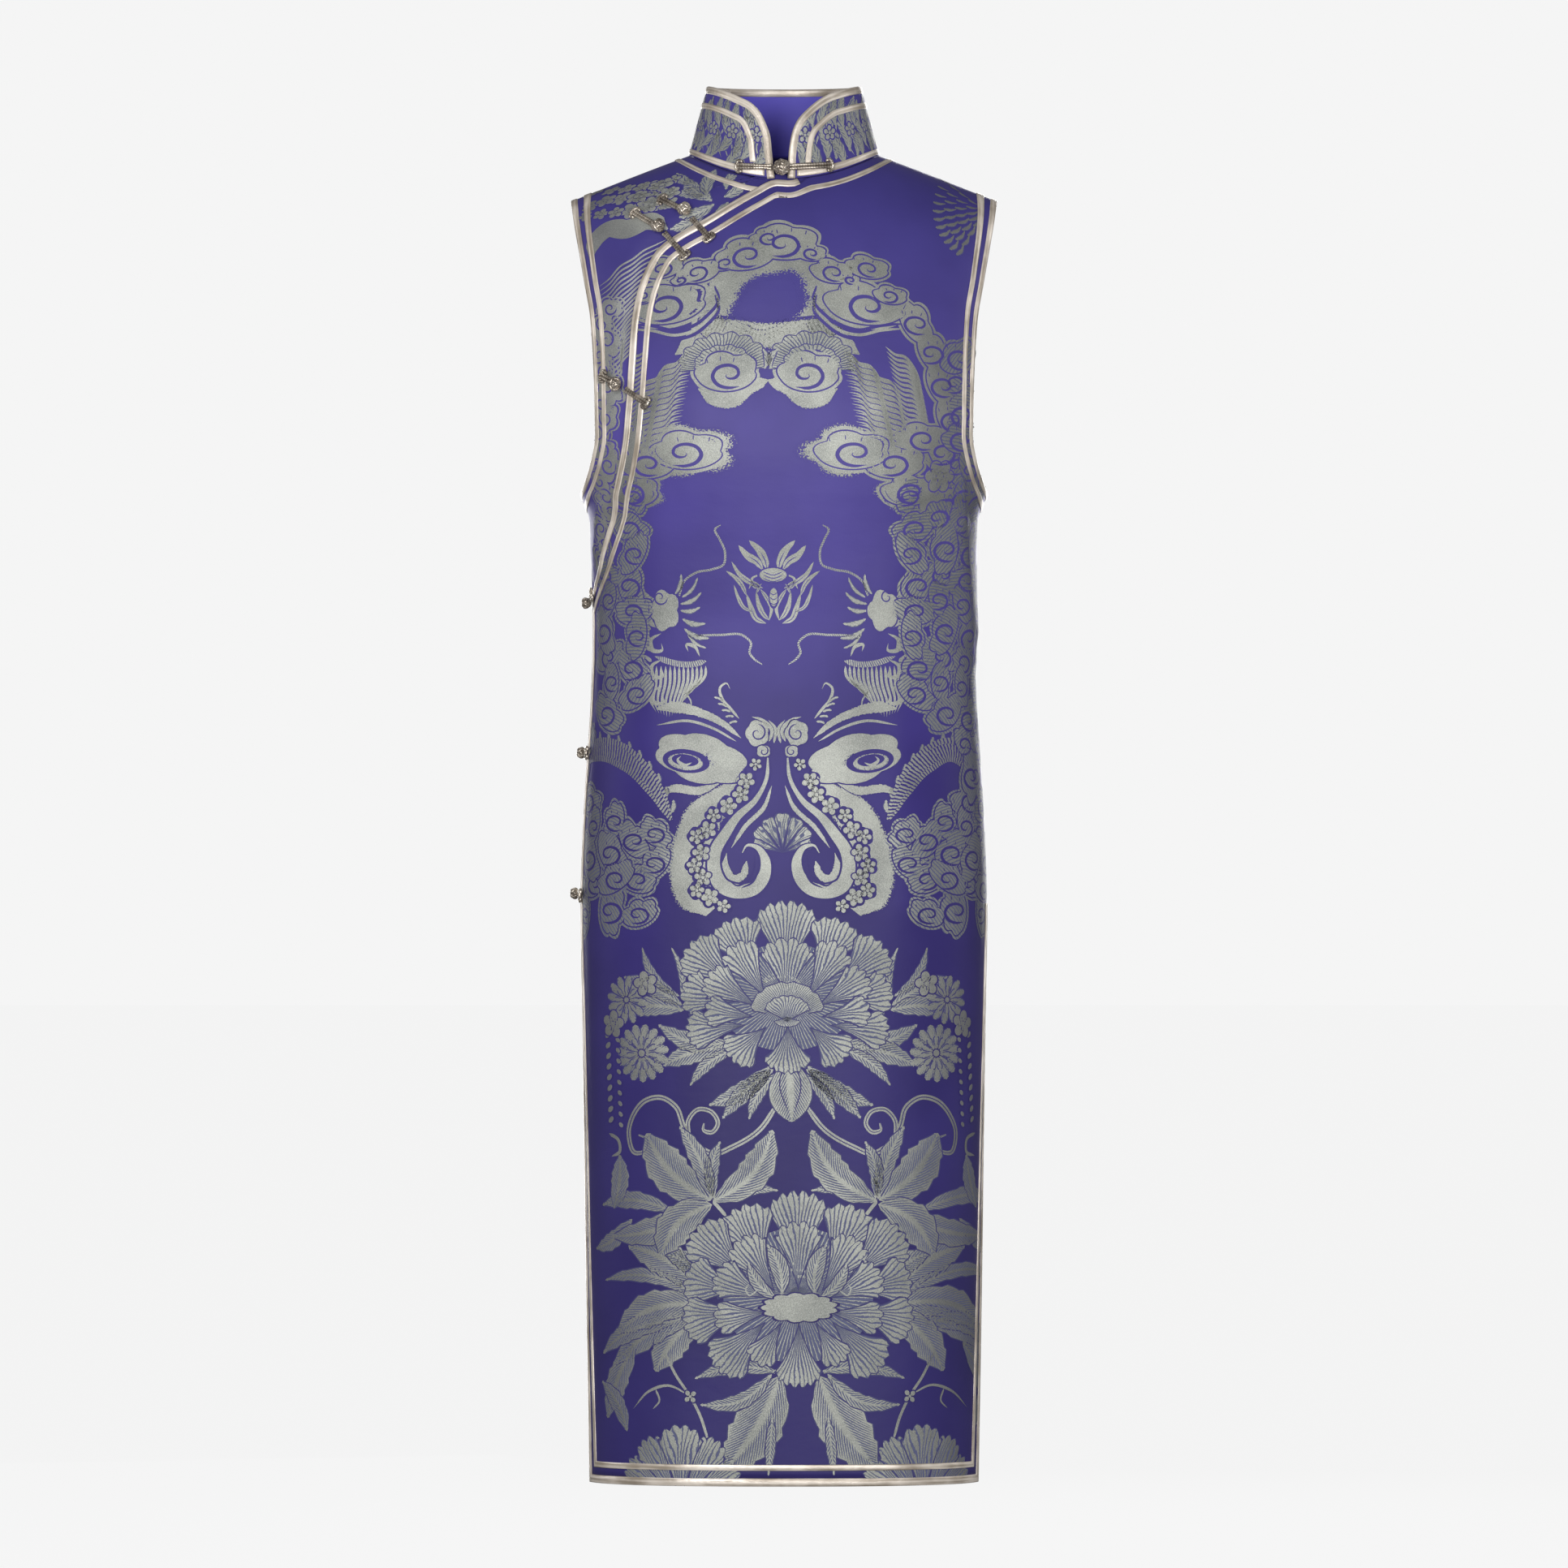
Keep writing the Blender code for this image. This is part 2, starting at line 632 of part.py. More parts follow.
def make_front(pattern, look, edge_look):
    spread = spread_points()
    loop = skirt_loop(front, BINDING_WIDTH + SEAM, BINDING_WIDTH + 2 * SEAM, SLIT_TOP_Z)
    hole = pattern.hole_border(-1)
    neck = pattern.neck_border(-1)
    neck = neck[neck[:, 0] > pattern.placket[0, 0] + 4]
    seam = pattern.side_seam(hole[-1, 1] - SEAM_DROP)
    step = np.array([[pattern.seam, SLIT_TOP_Z]])
    slant = inset(front, pattern.placket, BINDING_WIDTH + SEAM)
    outline = np.vstack([loop, step, seam, hole[::-1], neck[::-1], slant[:-1]])
    trims = [skirt_loop(front, away, low, SLIT_TOP_Z - SEAM) for away, low in
             ((TRIM_NEAR, HEM_TRIM_NEAR), (TRIM_FAR, HEM_TRIM_FAR))]
    holes = [pattern.hole(-1, away) for away in (ARMHOLE_TRIM_NEAR, ARMHOLE_TRIM_FAR)]
    slants = []
    for from_edge, from_neck in ((TRIM_NEAR, NECK_TRIM_NEAR), (TRIM_FAR, NECK_TRIM_FAR)):
        above = pattern.neck(-1, from_neck)[::-1][:-4]
        along = inset(front, pattern.placket, from_edge)
        along = along[along[:, 0] < above[-1, 0] - 12]
        slants.append((above, along))
    count = min(len(pair[1]) for pair in slants)
    slants = [np.vstack([above, along[-count:]]) for above, along in slants]
    sheet("front_panel", front, 1, outline, trims + holes + slants, spread, look)
    edges = [skirt_loop(front, away, low, SLIT_TOP_Z - SEAM) for away, low in
             ((0, 0), (BINDING_WIDTH, BINDING_WIDTH + SEAM))]
    band("front_hem_binding", [(front, 1, edges)], edge_look, BINDING_OUT, BINDING_IN)
    trim("front_hem_trim", [(front, 1, trims)], edge_look)
    edges = [pattern.placket, inset(front, pattern.placket, BINDING_WIDTH)]
    band("placket_binding", [(front, 1, edges)], edge_look, BINDING_OUT, BINDING_IN)
    trim("placket_trim", [(front, 1, [line[1:] for line in slants])], edge_look)


def make_underlap(pattern, look, edge_look):
    surface = underlap_surface(pattern)
    neck = pattern.neck_border(-1)
    near = neck[(neck[:, 0] > 1) & (neck[:, 0] < 26)]
    top = np.vstack([near[::-1], mirrored(neck)])
    hole = mirrored(pattern.hole_border(-1))
    foot = SLIT_TOP_Z + FOOT_RISE
    seam = mirrored(pattern.side_seam(hole[-1, 1] - SEAM_DROP))[::-1]
    hidden = inset(front, pattern.placket, UNDERLAP_HIDDEN)
    gaps = np.linalg.norm(front(hidden)[:, None] - front(pattern.placket)[None], axis=2).min(1)
    hidden = hidden[(hidden[:, 1] > foot + FOOT_RISE) & (gaps > 0.93 * UNDERLAP_HIDDEN)][::-1]
    end = np.array([[-pattern.seam, foot], [hidden[0, 0], foot]])
    outline = np.vstack([top, hole, seam, end, hidden])
    holes = [mirrored(pattern.hole(-1, away)) for away in (ARMHOLE_TRIM_NEAR, ARMHOLE_TRIM_FAR)]
    necks = [mirrored(pattern.neck(-1, away))[1:] for away in (NECK_TRIM_NEAR, NECK_TRIM_FAR)]
    lines = holes + necks + [pattern.placket[2:-6]]
    sheet("underlap", surface, 1, outline, lines, spread_points(), look)
    ends = [line[3:-1] for line in necks]
    trim("neckline_trim_right", [(surface, 1, ends)], edge_look)
    return surface


def make_armholes(pattern, underlap, edge_look):
    for name, turn, surface in (("left", 1, front), ("right", -1, underlap)):
        for piece, near, far in (("binding", 0, ARMHOLE_BINDING), ("trim", ARMHOLE_TRIM_NEAR, ARMHOLE_TRIM_FAR)):
            ahead = [pattern.hole(-1, away) * [turn, 1] for away in (near, far)]
            behind = [(pattern.hole(1, away) * [turn, 1])[::-1][1:-1] for away in (near, far)]
            stretches = [(surface, 1, ahead), (back, -1, behind)]
            if piece == "binding":
                band(f"armhole_binding_{name}", stretches, edge_look, BINDING_OUT, BINDING_IN, ring=True)
            else:
                trim(f"armhole_trim_{name}", stretches, edge_look, ring=True)


def collar_surface():
    """The stand collar from its seam on the neckline to its top ring; place 0 is at the back."""
    behind = back(neckline(1, 60))
    ahead = front(neckline(-1, 60))[::-1]
    ring = np.vstack([behind, ahead[1:]])
    turns = np.linspace(0, math.pi, len(ring))

    def surface(place):
        turn = place[..., 0] / ROUND_SCALE
        up = (place[..., 1] / COLLAR_HIGH)[..., None]
        low_y = np.interp(np.abs(turn), turns, ring[:, 1])
        low_z = np.interp(np.abs(turn), turns, ring[:, 2])
        low = np.stack([NECK_SIDE_X * np.sin(turn), low_y, low_z], -1)
        reach = np.where(np.cos(turn) > 0, COLLAR_TOP_BACK, COLLAR_TOP_FRONT)
        high = np.stack([COLLAR_TOP_X * np.sin(turn), reach * np.cos(turn), np.full_like(turn, COLLAR_TOP_Z)], -1)
        return low + (high - low) * up

    return surface


def collar_end(surface, table):
    target = np.array([[view.x, view.z] for view in table], float)
    side = np.sign(target[0, 0])
    ways = math.pi - np.arcsin(np.clip(np.abs(target[:, 0]) / 74, 0, 0.9))
    guess = np.stack([side * ways * ROUND_SCALE, (target[:, 1] + 10) * 0.85], 1)
    places = find(surface, target, [0, 2], guess)
    return np.vstack([places, [crossing(places, -1, COLLAR_FOOT, 1)]])


def make_collar(look, edge_look):
    surface = collar_surface()
    left = collar_end(surface, COLLAR_LEFT_END)
    right = collar_end(surface, COLLAR_RIGHT_END)
    top = np.linspace(left[0, 0] - 12, right[0, 0] + 12, 17)
    top = np.stack([top, np.full(len(top), COLLAR_HIGH)], 1)
    edge = curve(np.vstack([left[::-1], top, right]), COLLAR_EDGE_SPACING)
    border = inset(surface, edge, BINDING_WIDTH + SEAM)
    border[0] = crossing(border, 0, COLLAR_FOOT, 1)
    border[-1] = crossing(border, -1, COLLAR_FOOT, 1)
    low = np.linspace(border[-1, 0], border[0, 0], 27)[1:-1]
    base = np.stack([low, np.full(len(low), COLLAR_FOOT)], 1)
    spread = [(way, high) for way in np.linspace(-200, 200, 21) for high in COLLAR_ROWS]
    trims = [inset(surface, edge, away) for away in (COLLAR_TRIM_NEAR, COLLAR_TRIM_FAR)]
    keep = trims[1][:, 1] > COLLAR_BASE_FAR + 3
    trims = [line[keep] for line in trims]
    bases = [np.stack([low, np.full(len(low), high)], 1)[1:-1] for high in (COLLAR_BASE_NEAR, COLLAR_BASE_FAR)]
    lines = trims + bases[1:]
    sheet("collar", surface, -1, np.vstack([border, base]), lines, np.array(spread), look, 0, COLLAR_IN)
    edges = [edge, inset(surface, edge, BINDING_WIDTH)]
    band("collar_binding", [(surface, -1, edges)], edge_look, BINDING_OUT, COLLAR_BINDING_IN)
    trim("collar_trim", [(surface, -1, trims)], edge_look)
    trim("collar_base_trim", [(surface, -1, bases)], edge_look)
    return surface


def cord_half(name, points, normal, knot, look):
    """One half of a frog: a spread end, a double cord and, where knot isn't 0, a ball."""
    run = np.r_[0, np.cumsum(np.linalg.norm(np.diff(points, axis=0), axis=1))]
    whole = run[-1]
    radius = knot / 2
    if knot:
        stop = whole - radius
        ball = np.array(KNOT_RINGS)
        at = np.r_[END_STEPS, (END_STEPS[-1] + stop) / 2, stop - 0.6, whole + radius * ball]
        swell = radius * np.sqrt(1 - ball**2)
        wide = np.r_[END_HALF_WIDTHS, [CORD_HALF_WIDTH] * 3, swell]
        high = np.r_[[CORD_HALF_HIGH] * 6, KNOT_FLAT * swell]
    else:
        at = np.r_[END_STEPS, (END_STEPS[-1] + whole) / 2, whole - 3, whole]
        wide = np.r_[END_HALF_WIDTHS, [CORD_HALF_WIDTH] * 3, LOOP_TIP_HALF_WIDTH]
        high = np.full(len(at), CORD_HALF_HIGH)
    spots = np.stack([np.interp(at, run, points[:, k]) for k in range(3)], 1)
    beyond = np.clip(at - whole, 0, None)[:, None]
    spots += beyond * (points[-1] - points[-2]) / np.linalg.norm(points[-1] - points[-2])
    turned = np.stack([np.interp(at, run, normal[:, k]) for k in range(3)], 1)
    turned /= np.linalg.norm(turned, axis=1, keepdims=True)
    spots += turned * np.maximum(CORD_HALF_HIGH, high[:, None] * 0.9)
    rod(name, spots, turned, wide, high, look)


def raised(surface, outward, place):
    normal = normals(surface, place, outward)
    return surface(place) + normal * CORD_LIFT, normal


def front_path(surface, start, end, guess):
    share = np.linspace(0, 1, 12)[:, None]
    target = np.array(start) * (1 - share) + np.array(end) * share
    return find(surface, target.astype(float), [0, 2], guess(target))


def seated(underlap, place, seat):
    """The knot's strap comes down from the slanted edge and ends on the underlap."""
    points, normal = raised(front, 1, place)
    end = underlap(place) + normal * seat
    share = np.linspace(1, 0, len(place))[:, None]
    share = np.clip(1.6 * share, 0, 1)
    return end * share + points * (1 - share), normal


def front_guess(target):
    return np.stack([target[:, 0] * 1.15, target[:, 1]], 1)


def collar_guess(target):
    side = np.where(target[:, 0] < 0, -1, 1)
    return np.stack([side * (math.pi - np.abs(target[:, 0]) / 80) * ROUND_SCALE, target[:, 1] + 15], 1)


def make_frogs(underlap, collar, look):
    for frog in BODY_FROGS:
        knot = (frog.knot_x, frog.knot_z)
        pin = front_path(front, (frog.pin_x, frog.pin_z), knot, front_guess)
        loop = front_path(front, (frog.loop_x, frog.loop_z), knot, front_guess)
        points, normal = seated(underlap, pin, frog.seat)
        cord_half(frog.name + "_knot", points, normal, frog.knot, look)
        points, normal = raised(front, 1, loop)
        loop_half(frog, points, normal, look)
    frog = COLLAR_FROG
    for end, x, z, inner, knot in (("_knot", frog.loop_x, frog.loop_z, COLLAR_KNOT_SHORT, frog.knot),
                                   ("_loop", frog.pin_x, frog.pin_z, COLLAR_LOOP_SHORT, 0)):
        place = front_path(collar, (x, z), (inner, frog.knot_z), collar_guess)
        points, normal = raised(collar, -1, place)
        if knot:
            centre = np.array([frog.knot_x, points[-1, 1] - 1, frog.knot_z])
            points, normal = np.vstack([points, centre]), np.vstack([normal, [0, -1, 0]])
        cord_half(frog.name + end, points, normal, knot, look)


def loop_half(frog, points, normal, look):
    reach = np.linalg.norm(points - points[-1], axis=1)
    keep = reach > frog.knot / 2 + KNOT_GAP
    cord_half(frog.name + "_loop", points[keep], normal[keep], 0, look)


def make_side_frogs(look):
    """Fastenings on the side edge: the loop lies on the front, the knot's strap on the back."""
    for frog in SIDE_FROGS:
        share = np.linspace(0, 1, 9)
        z = frog.end_z + (frog.z - frog.end_z) * share
        ways = -(HALF_ROUND - SIDE_REACH * (1 - share) - SIDE_KNOT * 0.85 * share)
        points, normal = raised(front, 1, np.stack([ways, z], 1))
        cord_half(frog.name + "_loop", points, normal, 0, look)
        ways = -(HALF_ROUND - SIDE_REACH * (1 - share))
        points, normal = raised(back, -1, np.stack([ways, z], 1))
        cord_half(frog.name + "_knot", points, normal, SIDE_KNOT, look)


def main():
    clear_scene()
    satin = material("brocade", SATIN, 0.42, 0.25)
    champagne = material("satin_trim", CHAMPAGNE, 0.35, 0.2)
    bronze = material("cord", BRONZE, 0.5, 0.35)
    pattern = Pattern()
    make_back(pattern, satin, champagne)
    make_front(pattern, satin, champagne)
    underlap = make_underlap(pattern, satin, champagne)
    make_armholes(pattern, underlap, champagne)
    collar = make_collar(satin, champagne)
    make_frogs(underlap, collar, bronze)
    make_side_frogs(bronze)


main()
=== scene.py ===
# A sleeveless long dress in violet-blue brocade, filled out as it is on a wearer.
# Sizes are millimetres, and metres in the stage and the sheets; +X is the wearer's left, -Y the front, +Z up.

import math

import bpy
import numpy as np
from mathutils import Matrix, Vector


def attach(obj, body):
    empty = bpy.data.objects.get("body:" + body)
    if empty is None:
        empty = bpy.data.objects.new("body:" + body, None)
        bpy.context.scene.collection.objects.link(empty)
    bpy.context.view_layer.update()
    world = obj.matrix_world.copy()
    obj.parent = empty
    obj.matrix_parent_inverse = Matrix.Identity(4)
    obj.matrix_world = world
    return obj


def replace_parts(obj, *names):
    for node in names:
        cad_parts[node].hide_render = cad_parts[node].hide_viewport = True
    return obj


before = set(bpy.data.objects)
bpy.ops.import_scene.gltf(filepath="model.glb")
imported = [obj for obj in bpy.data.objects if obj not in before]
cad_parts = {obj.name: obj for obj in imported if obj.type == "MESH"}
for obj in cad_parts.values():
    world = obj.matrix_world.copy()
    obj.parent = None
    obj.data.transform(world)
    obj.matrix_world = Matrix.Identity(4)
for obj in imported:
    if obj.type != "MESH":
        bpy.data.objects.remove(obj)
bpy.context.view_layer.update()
mm = 0.001

# the body: rings from the hem to the bust, then over the shoulder
body = {
    "z": [-1138, -1080, -965, -855, -745, -640, -575, -520, -465, -410, -350, -313, -301, -288, -250, -200],
    "halfWidth": [167.2, 168.2, 170.1, 171.5, 173.2, 174.8, 172.8, 169.6, 166.0, 164.4, 165.6, 166.6, 169.8,
                  175.0, 179.0, 178.5],
    "front": [95, 96, 98, 100, 102, 103, 101, 98, 94, 93, 99, 105, 106.7, 108.6, 112.5, 108],
    "back": [97, 98, 100, 102, 104, 104, 102, 98, 95, 93, 95, 96, 96, 97, 98, 95],
    "halfRound": 210.0,
    "fullness": 0.03,
    "bustZ": -250.0,
    "rise": 300.0,
    "shoulderWidth": 198.0,
    "frontReach": 80.0,
    "backReach": 95.0,
    "neckSide": (82.0, 4.0),
    "shoulderTip": (184.0, -38.0),
    "ridgeRound": 45.0,
    "neckFront": 61.0,
    "neckBack": 47.0,
    "underarm": -288.0,
    "slitTop": -640.0,
    "hem": -1138.0,
    "slitOpen": 32.0,
}

# side, top x z, low x z, half width, height
swells = [
    (-1, 76, -215, 80, -262, 44, 5.0),
    (-1, -76, -215, -80, -262, 44, 5.0),
    (-1, 146, -312, 160, -405, 11, 2.6),
    (-1, -158, -302, -158, -340, 9, 1.8),
    (-1, 40, -470, 60, -540, 40, 2.0),
    (1, 80, -130, 85, -190, 48, 4.0),
    (1, -80, -130, -85, -190, 48, 4.0),
    # small creases that the solids leave out
    (-1, 152, -276, 154, -312, 3.4, 1.5),
    (-1, 149, -318, 164, -430, 7, 1.3),
    (-1, -157, -300, -160, -336, 4, 1.4),
    (-1, -108, -300, -120, -520, 16, 1.6),
    (-1, 96, -300, 104, -640, 18, 1.5),
    (-1, -30, -60, -62, -112, 6, 0.8),
    (-1, -66, -92, -84, -150, 5, 0.7),
    (-1, 30, -35, 66, -70, 7, 0.7),
    (-1, -52, -640, -60, -900, 26, 1.2),
    (-1, 58, -700, 66, -1000, 24, 1.0),
    (1, 110, -320, 122, -560, 17, 1.6),
    (1, -96, -310, -108, -640, 18, 1.5),
    (1, 0, -330, 4, -470, 20, 1.4),
    (1, 46, -660, 58, -980, 26, 1.2),
]

edges = {
    "armhole": [(179, -66), (175, -88), (171, -111), (167, -133), (164.6, -160), (163, -195), (162.4, -223),
                (162.4, -245), (164.5, -256), (167.3, -267), (171.5, -279)],
    "placket": [(8, -19.5), (-9, -19.5), (-26, -28), (-45, -39), (-71, -55), (-89, -65), (-107, -78),
                (-117, -93.5), (-125, -114), (-130, -138), (-133, -176), (-135.5, -215), (-141, -262),
                (-147, -293), (-152, -321), (-158, -343)],
    "placketSide": -384.0,
}

bands = {
    "binding": 7.0,
    "trim": (12.8, 17.6),
    "hemBinding": 7.3,
    "hemTrim": (13.6, 18.8),
    "armhole": 6.0,
    "armholeTrim": (10.5, 15.5),
    "neckTrim": (8.5, 13.5),
    "collarTrim": (14.8, 20.2),
    "collarBase": (1.2, 6.4),
    # lowest and highest of each section over the cloth, and how square the section is
    "edgeHeights": (-2.1, 0.85),
    "lineHeights": (-0.25, 0.95),
    "squareAcross": 0.62,
    "squareUp": 0.8,
    "slitGap": 0.3,
}


def easedTable(where, knots, values):
    # cubic pieces whose slope at each knot is the harmonic mean of its neighbours'
    knots, values = np.asarray(knots, float), np.asarray(values, float)
    step = np.diff(knots)
    slope = np.diff(values) / step
    tangent = np.zeros(len(knots))
    same = slope[:-1] * slope[1:] > 0
    tangent[1:-1][same] = 2 * slope[:-1][same] * slope[1:][same] / (slope[:-1][same] + slope[1:][same])
    tangent[0], tangent[-1] = slope[0], slope[-1]
    where = np.clip(where, knots[0], knots[-1])
    at = np.clip(np.searchsorted(knots, where) - 1, 0, len(step) - 1)
    t = (where - knots[at]) / step[at]
    rise = values[at + 1] - values[at]
    start, end = tangent[at] * step[at], tangent[at + 1] * step[at]
    return values[at] + t * start + t * t * (3 * rise - 2 * start - end) + t**3 * (start + end - 2 * rise)


def section(around):
    # an oval squared off by its third harmonic; around is halfRound at the side seam
    angle = around / body["halfRound"] * math.pi / 2
    full = body["fullness"]
    wide = (np.sin(angle) + full * np.sin(3 * angle)) / (1 - full)
    deep = (np.cos(angle) - full * np.cos(3 * angle)) / (1 - full)
    return wide, deep


def slitEdge(z):
    below = np.clip((body["slitTop"] - z) / (body["slitTop"] - body["hem"]), 0, None)
    return body["halfRound"] - body["slitOpen"] * below**1.1


def ridgeHeight(x):
    (nx, nz), (tx, tz), soft = body["neckSide"], body["shoulderTip"], body["ridgeRound"]
    return nz + (nz - tz) / (tx - nx) * (math.hypot(nx, soft) - np.hypot(x, soft))


def swollen(side, x, z):
    # each rise is a bell round a straight ridge
    total = np.zeros_like(x)
    for which, topX, topZ, lowX, lowZ, halfWidth, height in swells:
        if which != side:
            continue
        runX, runZ = lowX - topX, lowZ - topZ
        share = np.clip(((x - topX) * runX + (z - topZ) * runZ) / (runX**2 + runZ**2), 0, 1)
        away = np.hypot(x - topX - share * runX, z - topZ - share * runZ)
        total += height * np.exp(-((away / halfWidth) ** 2))
    return total


def bustShare(t):
    # the bust's part in a column that runs up to the ridge: the first two Bezier weights
    return (1 - t) ** 3 + 3 * (1 - t) ** 2 * t


def bodySurface(side, place):
    # below the bust a ring at each height; above it each column is a Bezier up to the shoulder ridge
    around, height = place[..., 0], place[..., 1]
    wide, deep = section(around)
    low = np.minimum(height, body["bustZ"])
    half = easedTable(low, body["z"], body["halfWidth"]) / section(slitEdge(low))[0]
    depth = easedTable(low, body["z"], body["front" if side < 0 else "back"])
    t = np.clip((height - body["bustZ"]) / body["rise"], 0, 1.15)
    start = bustShare(t)
    end = 1 - start
    shoulder = body["shoulderWidth"]
    reach = body["frontReach" if side < 0 else "backReach"]
    x = wide * (half * start + shoulder * end)
    y = side * deep * (depth * start + reach * 3 * (1 - t) * t * t)
    z = low * start + body["rise"] * (1 - t) ** 2 * t + ridgeHeight(shoulder * wide) * end
    out = swollen(side, x, z) * (1 - t) ** 2
    lean = np.hypot(wide / half, deep / depth)
    x = x + out * wide / half / lean
    y = y + side * out * deep / depth / lean
    return np.stack([x, y, z], axis=-1)


def frontSurface(place):
    return bodySurface(-1, place)


def backSurface(place):
    return bodySurface(1, place)


surfaces = {-1: frontSurface, 1: backSurface}


def runLength(points):
    # distance along the line from its first point
    return np.r_[0, np.cumsum(np.linalg.norm(np.diff(points, axis=0), axis=1))]


def unit(rows):
    return rows / np.maximum(np.linalg.norm(rows, axis=-1, keepdims=True), 1e-9)


def leftOf(along):
    return np.stack([-along[:, 1], along[:, 0]], 1)


def slitLine(z):
    return np.stack([slitEdge(z), z], 1)


def slopes(surface, place):
    step = 0.4
    one = (surface(place + [step, 0]) - surface(place - [step, 0])) / (2 * step)
    two = (surface(place + [0, step]) - surface(place - [0, step])) / (2 * step)
    return one, two


def normals(surface, place, outward):
    one, two = slopes(surface, place)
    return unit(np.cross(one, two) * outward)


def findPlaces(surface, target, axes, guess):
    # Newton steps on two coordinates, each step held under 12 mm
    place = np.array(guess, float)
    for _ in range(40):
        miss = target - surface(place)[:, axes]
        one, two = slopes(surface, place)
        a, b, c, d = one[:, axes[0]], two[:, axes[0]], one[:, axes[1]], two[:, axes[1]]
        det = a * d - b * c
        move = np.stack([d * miss[:, 0] - b * miss[:, 1], a * miss[:, 1] - c * miss[:, 0]], 1) / det[:, None]
        length = np.linalg.norm(move, axis=1, keepdims=True)
        place += move * np.minimum(1, 12 / np.maximum(length, 1e-9))
    return place


def smoothLine(points, count):
    # cubic pieces through the points, read off at even steps of length
    points = np.asarray(points, float)
    reach = runLength(points)
    at = np.linspace(0, reach[-1], count)
    slope = np.gradient(points, reach, axis=0)
    k = np.clip(np.searchsorted(reach, at, side="right") - 1, 0, len(points) - 2)
    gap = (reach[k + 1] - reach[k])[:, None]
    t = (at - reach[k])[:, None] / gap
    first = (2 * t**3 - 3 * t**2 + 1) * points[k] + (t**3 - 2 * t**2 + t) * gap * slope[k]
    last = (3 * t**2 - 2 * t**3) * points[k + 1] + (t**3 - t**2) * gap * slope[k + 1]
    return first + last


def straightLine(points, count):
    points = np.asarray(points, float)
    reach = runLength(points)
    at = np.linspace(0, reach[-1], count)
    return np.stack([np.interp(at, reach, points[:, k]) for k in range(points.shape[1])], 1)


def moveIn(surface, line, distance):
    # the line moved to its left over the surface, by a true distance at each point
    along = np.gradient(line, axis=0)
    one, two = slopes(surface, line)
    e, f, g = (one * one).sum(1), (one * two).sum(1), (two * two).sum(1)
    across = leftOf(along)
    det = e * g - f * f
    raised = np.stack([g * across[:, 0] - f * across[:, 1], e * across[:, 1] - f * across[:, 0]], 1)
    raised = raised / det[:, None]
    size = np.sqrt((raised * across).sum(1, keepdims=True))
    return line + np.asarray(distance).reshape(-1, 1) * raised / size


def mirrored(line):
    return line * [-1, 1]


def crossing(line, end, value, axis):
    first, last = (line[1], line[0]) if end == 0 else (line[-2], line[-1])
    return last + (last - first) * (value - last[axis]) / (last[axis] - first[axis])


def viewPlaces(rows):
    rows = np.array(rows, float)
    return findPlaces(frontSurface, rows, [0, 2], np.stack([rows[:, 0] * 1.15, rows[:, 1]], 1))


print("pattern: edges found on the surface")
ridge = body["bustZ"] + body["rise"]
sideWay = body["halfRound"]


def armholeEdge(surface, count=90):
    rows = np.array(edges["armhole"], float)
    middle = findPlaces(surface, rows, [0, 2], np.stack([np.full(len(rows), 150.0), rows[:, 1]], 1))
    ways = np.linspace(0, sideWay, 400)
    tip = [np.interp(body["shoulderTip"][0] / body["shoulderWidth"], section(ways)[0], ways), ridge]
    return smoothLine(np.vstack([[tip], middle, [[sideWay, body["underarm"]]]]), count)


def neckEdge(which, count=48):
    turn = np.linspace(0, math.pi / 2, count)
    reach = body["neckFront" if which < 0 else "neckBack"]
    rows = np.stack([body["neckSide"][0] * np.sin(turn), which * reach * np.cos(turn)], 1)
    guess = np.stack([rows[:, 0] * 1.1, np.linspace(-20, 40, count)], 1)
    return findPlaces(surfaces[which], rows, [0, 1], guess)


holes = {which: armholeEdge(surface) for which, surface in surfaces.items()}
necks = {which: neckEdge(which) for which in surfaces}


def holeLine(which, distance):
    moved = moveIn(surfaces[which], holes[which][::-1], distance)[::-1]
    moved[0] = crossing(moved, 0, ridge, 1)
    moved[-1] = crossing(moved, -1, sideWay, 0)
    return moved


def neckLine(which, distance):
    moved = moveIn(surfaces[which], necks[which][::-1], distance)[::-1]
    moved[-1] = crossing(moved, -1, ridge, 1)
    moved[0, 0] = 0
    return moved


def placketEdge(count=150):
    start = necks[-1][np.searchsorted(necks[-1][:, 0], 6)]
    end = [[-sideWay, edges["placketSide"]]]
    slanted = smoothLine(np.vstack([start[None], viewPlaces(edges["placket"]), end]), count)
    z = np.linspace(edges["placketSide"] - 5, body["slitTop"], 52)
    return np.vstack([slanted, mirrored(slitLine(z))])


placket = placketEdge()


def outsideOf(place, line):
    # distance from a line, positive on its right; read on whole arrays in slices
    start, run = line[:-1], np.diff(line, axis=0)
    flat = place.reshape(-1, 2)
    found = []
    for part in np.array_split(flat, max(1, len(flat) // 20000)):
        away = part[:, None] - start
        share = np.clip((away * run).sum(-1) / (run * run).sum(-1), 0, 1)
        gap = away - share[..., None] * run
        size = np.hypot(gap[..., 0], gap[..., 1])
        near = size.argmin(-1)
        mine = np.arange(len(part))
        turn = run[near, 0] * gap[mine, near, 1] - run[near, 1] * gap[mine, near, 0]
        found.append(-np.sign(turn) * size[mine, near])
    return np.concatenate(found).reshape(place.shape[:-1])


underlap = {"drop": -2.6, "ramp": 18.0, "hidden": 34.0, "least": 0.62, "foot": 12.0, "seam": 0.3,
            "napeX": 22.0}
coarsePlacket = np.vstack([necks[-1][necks[-1][:, 0] > 10][::-4], placket[::4]])


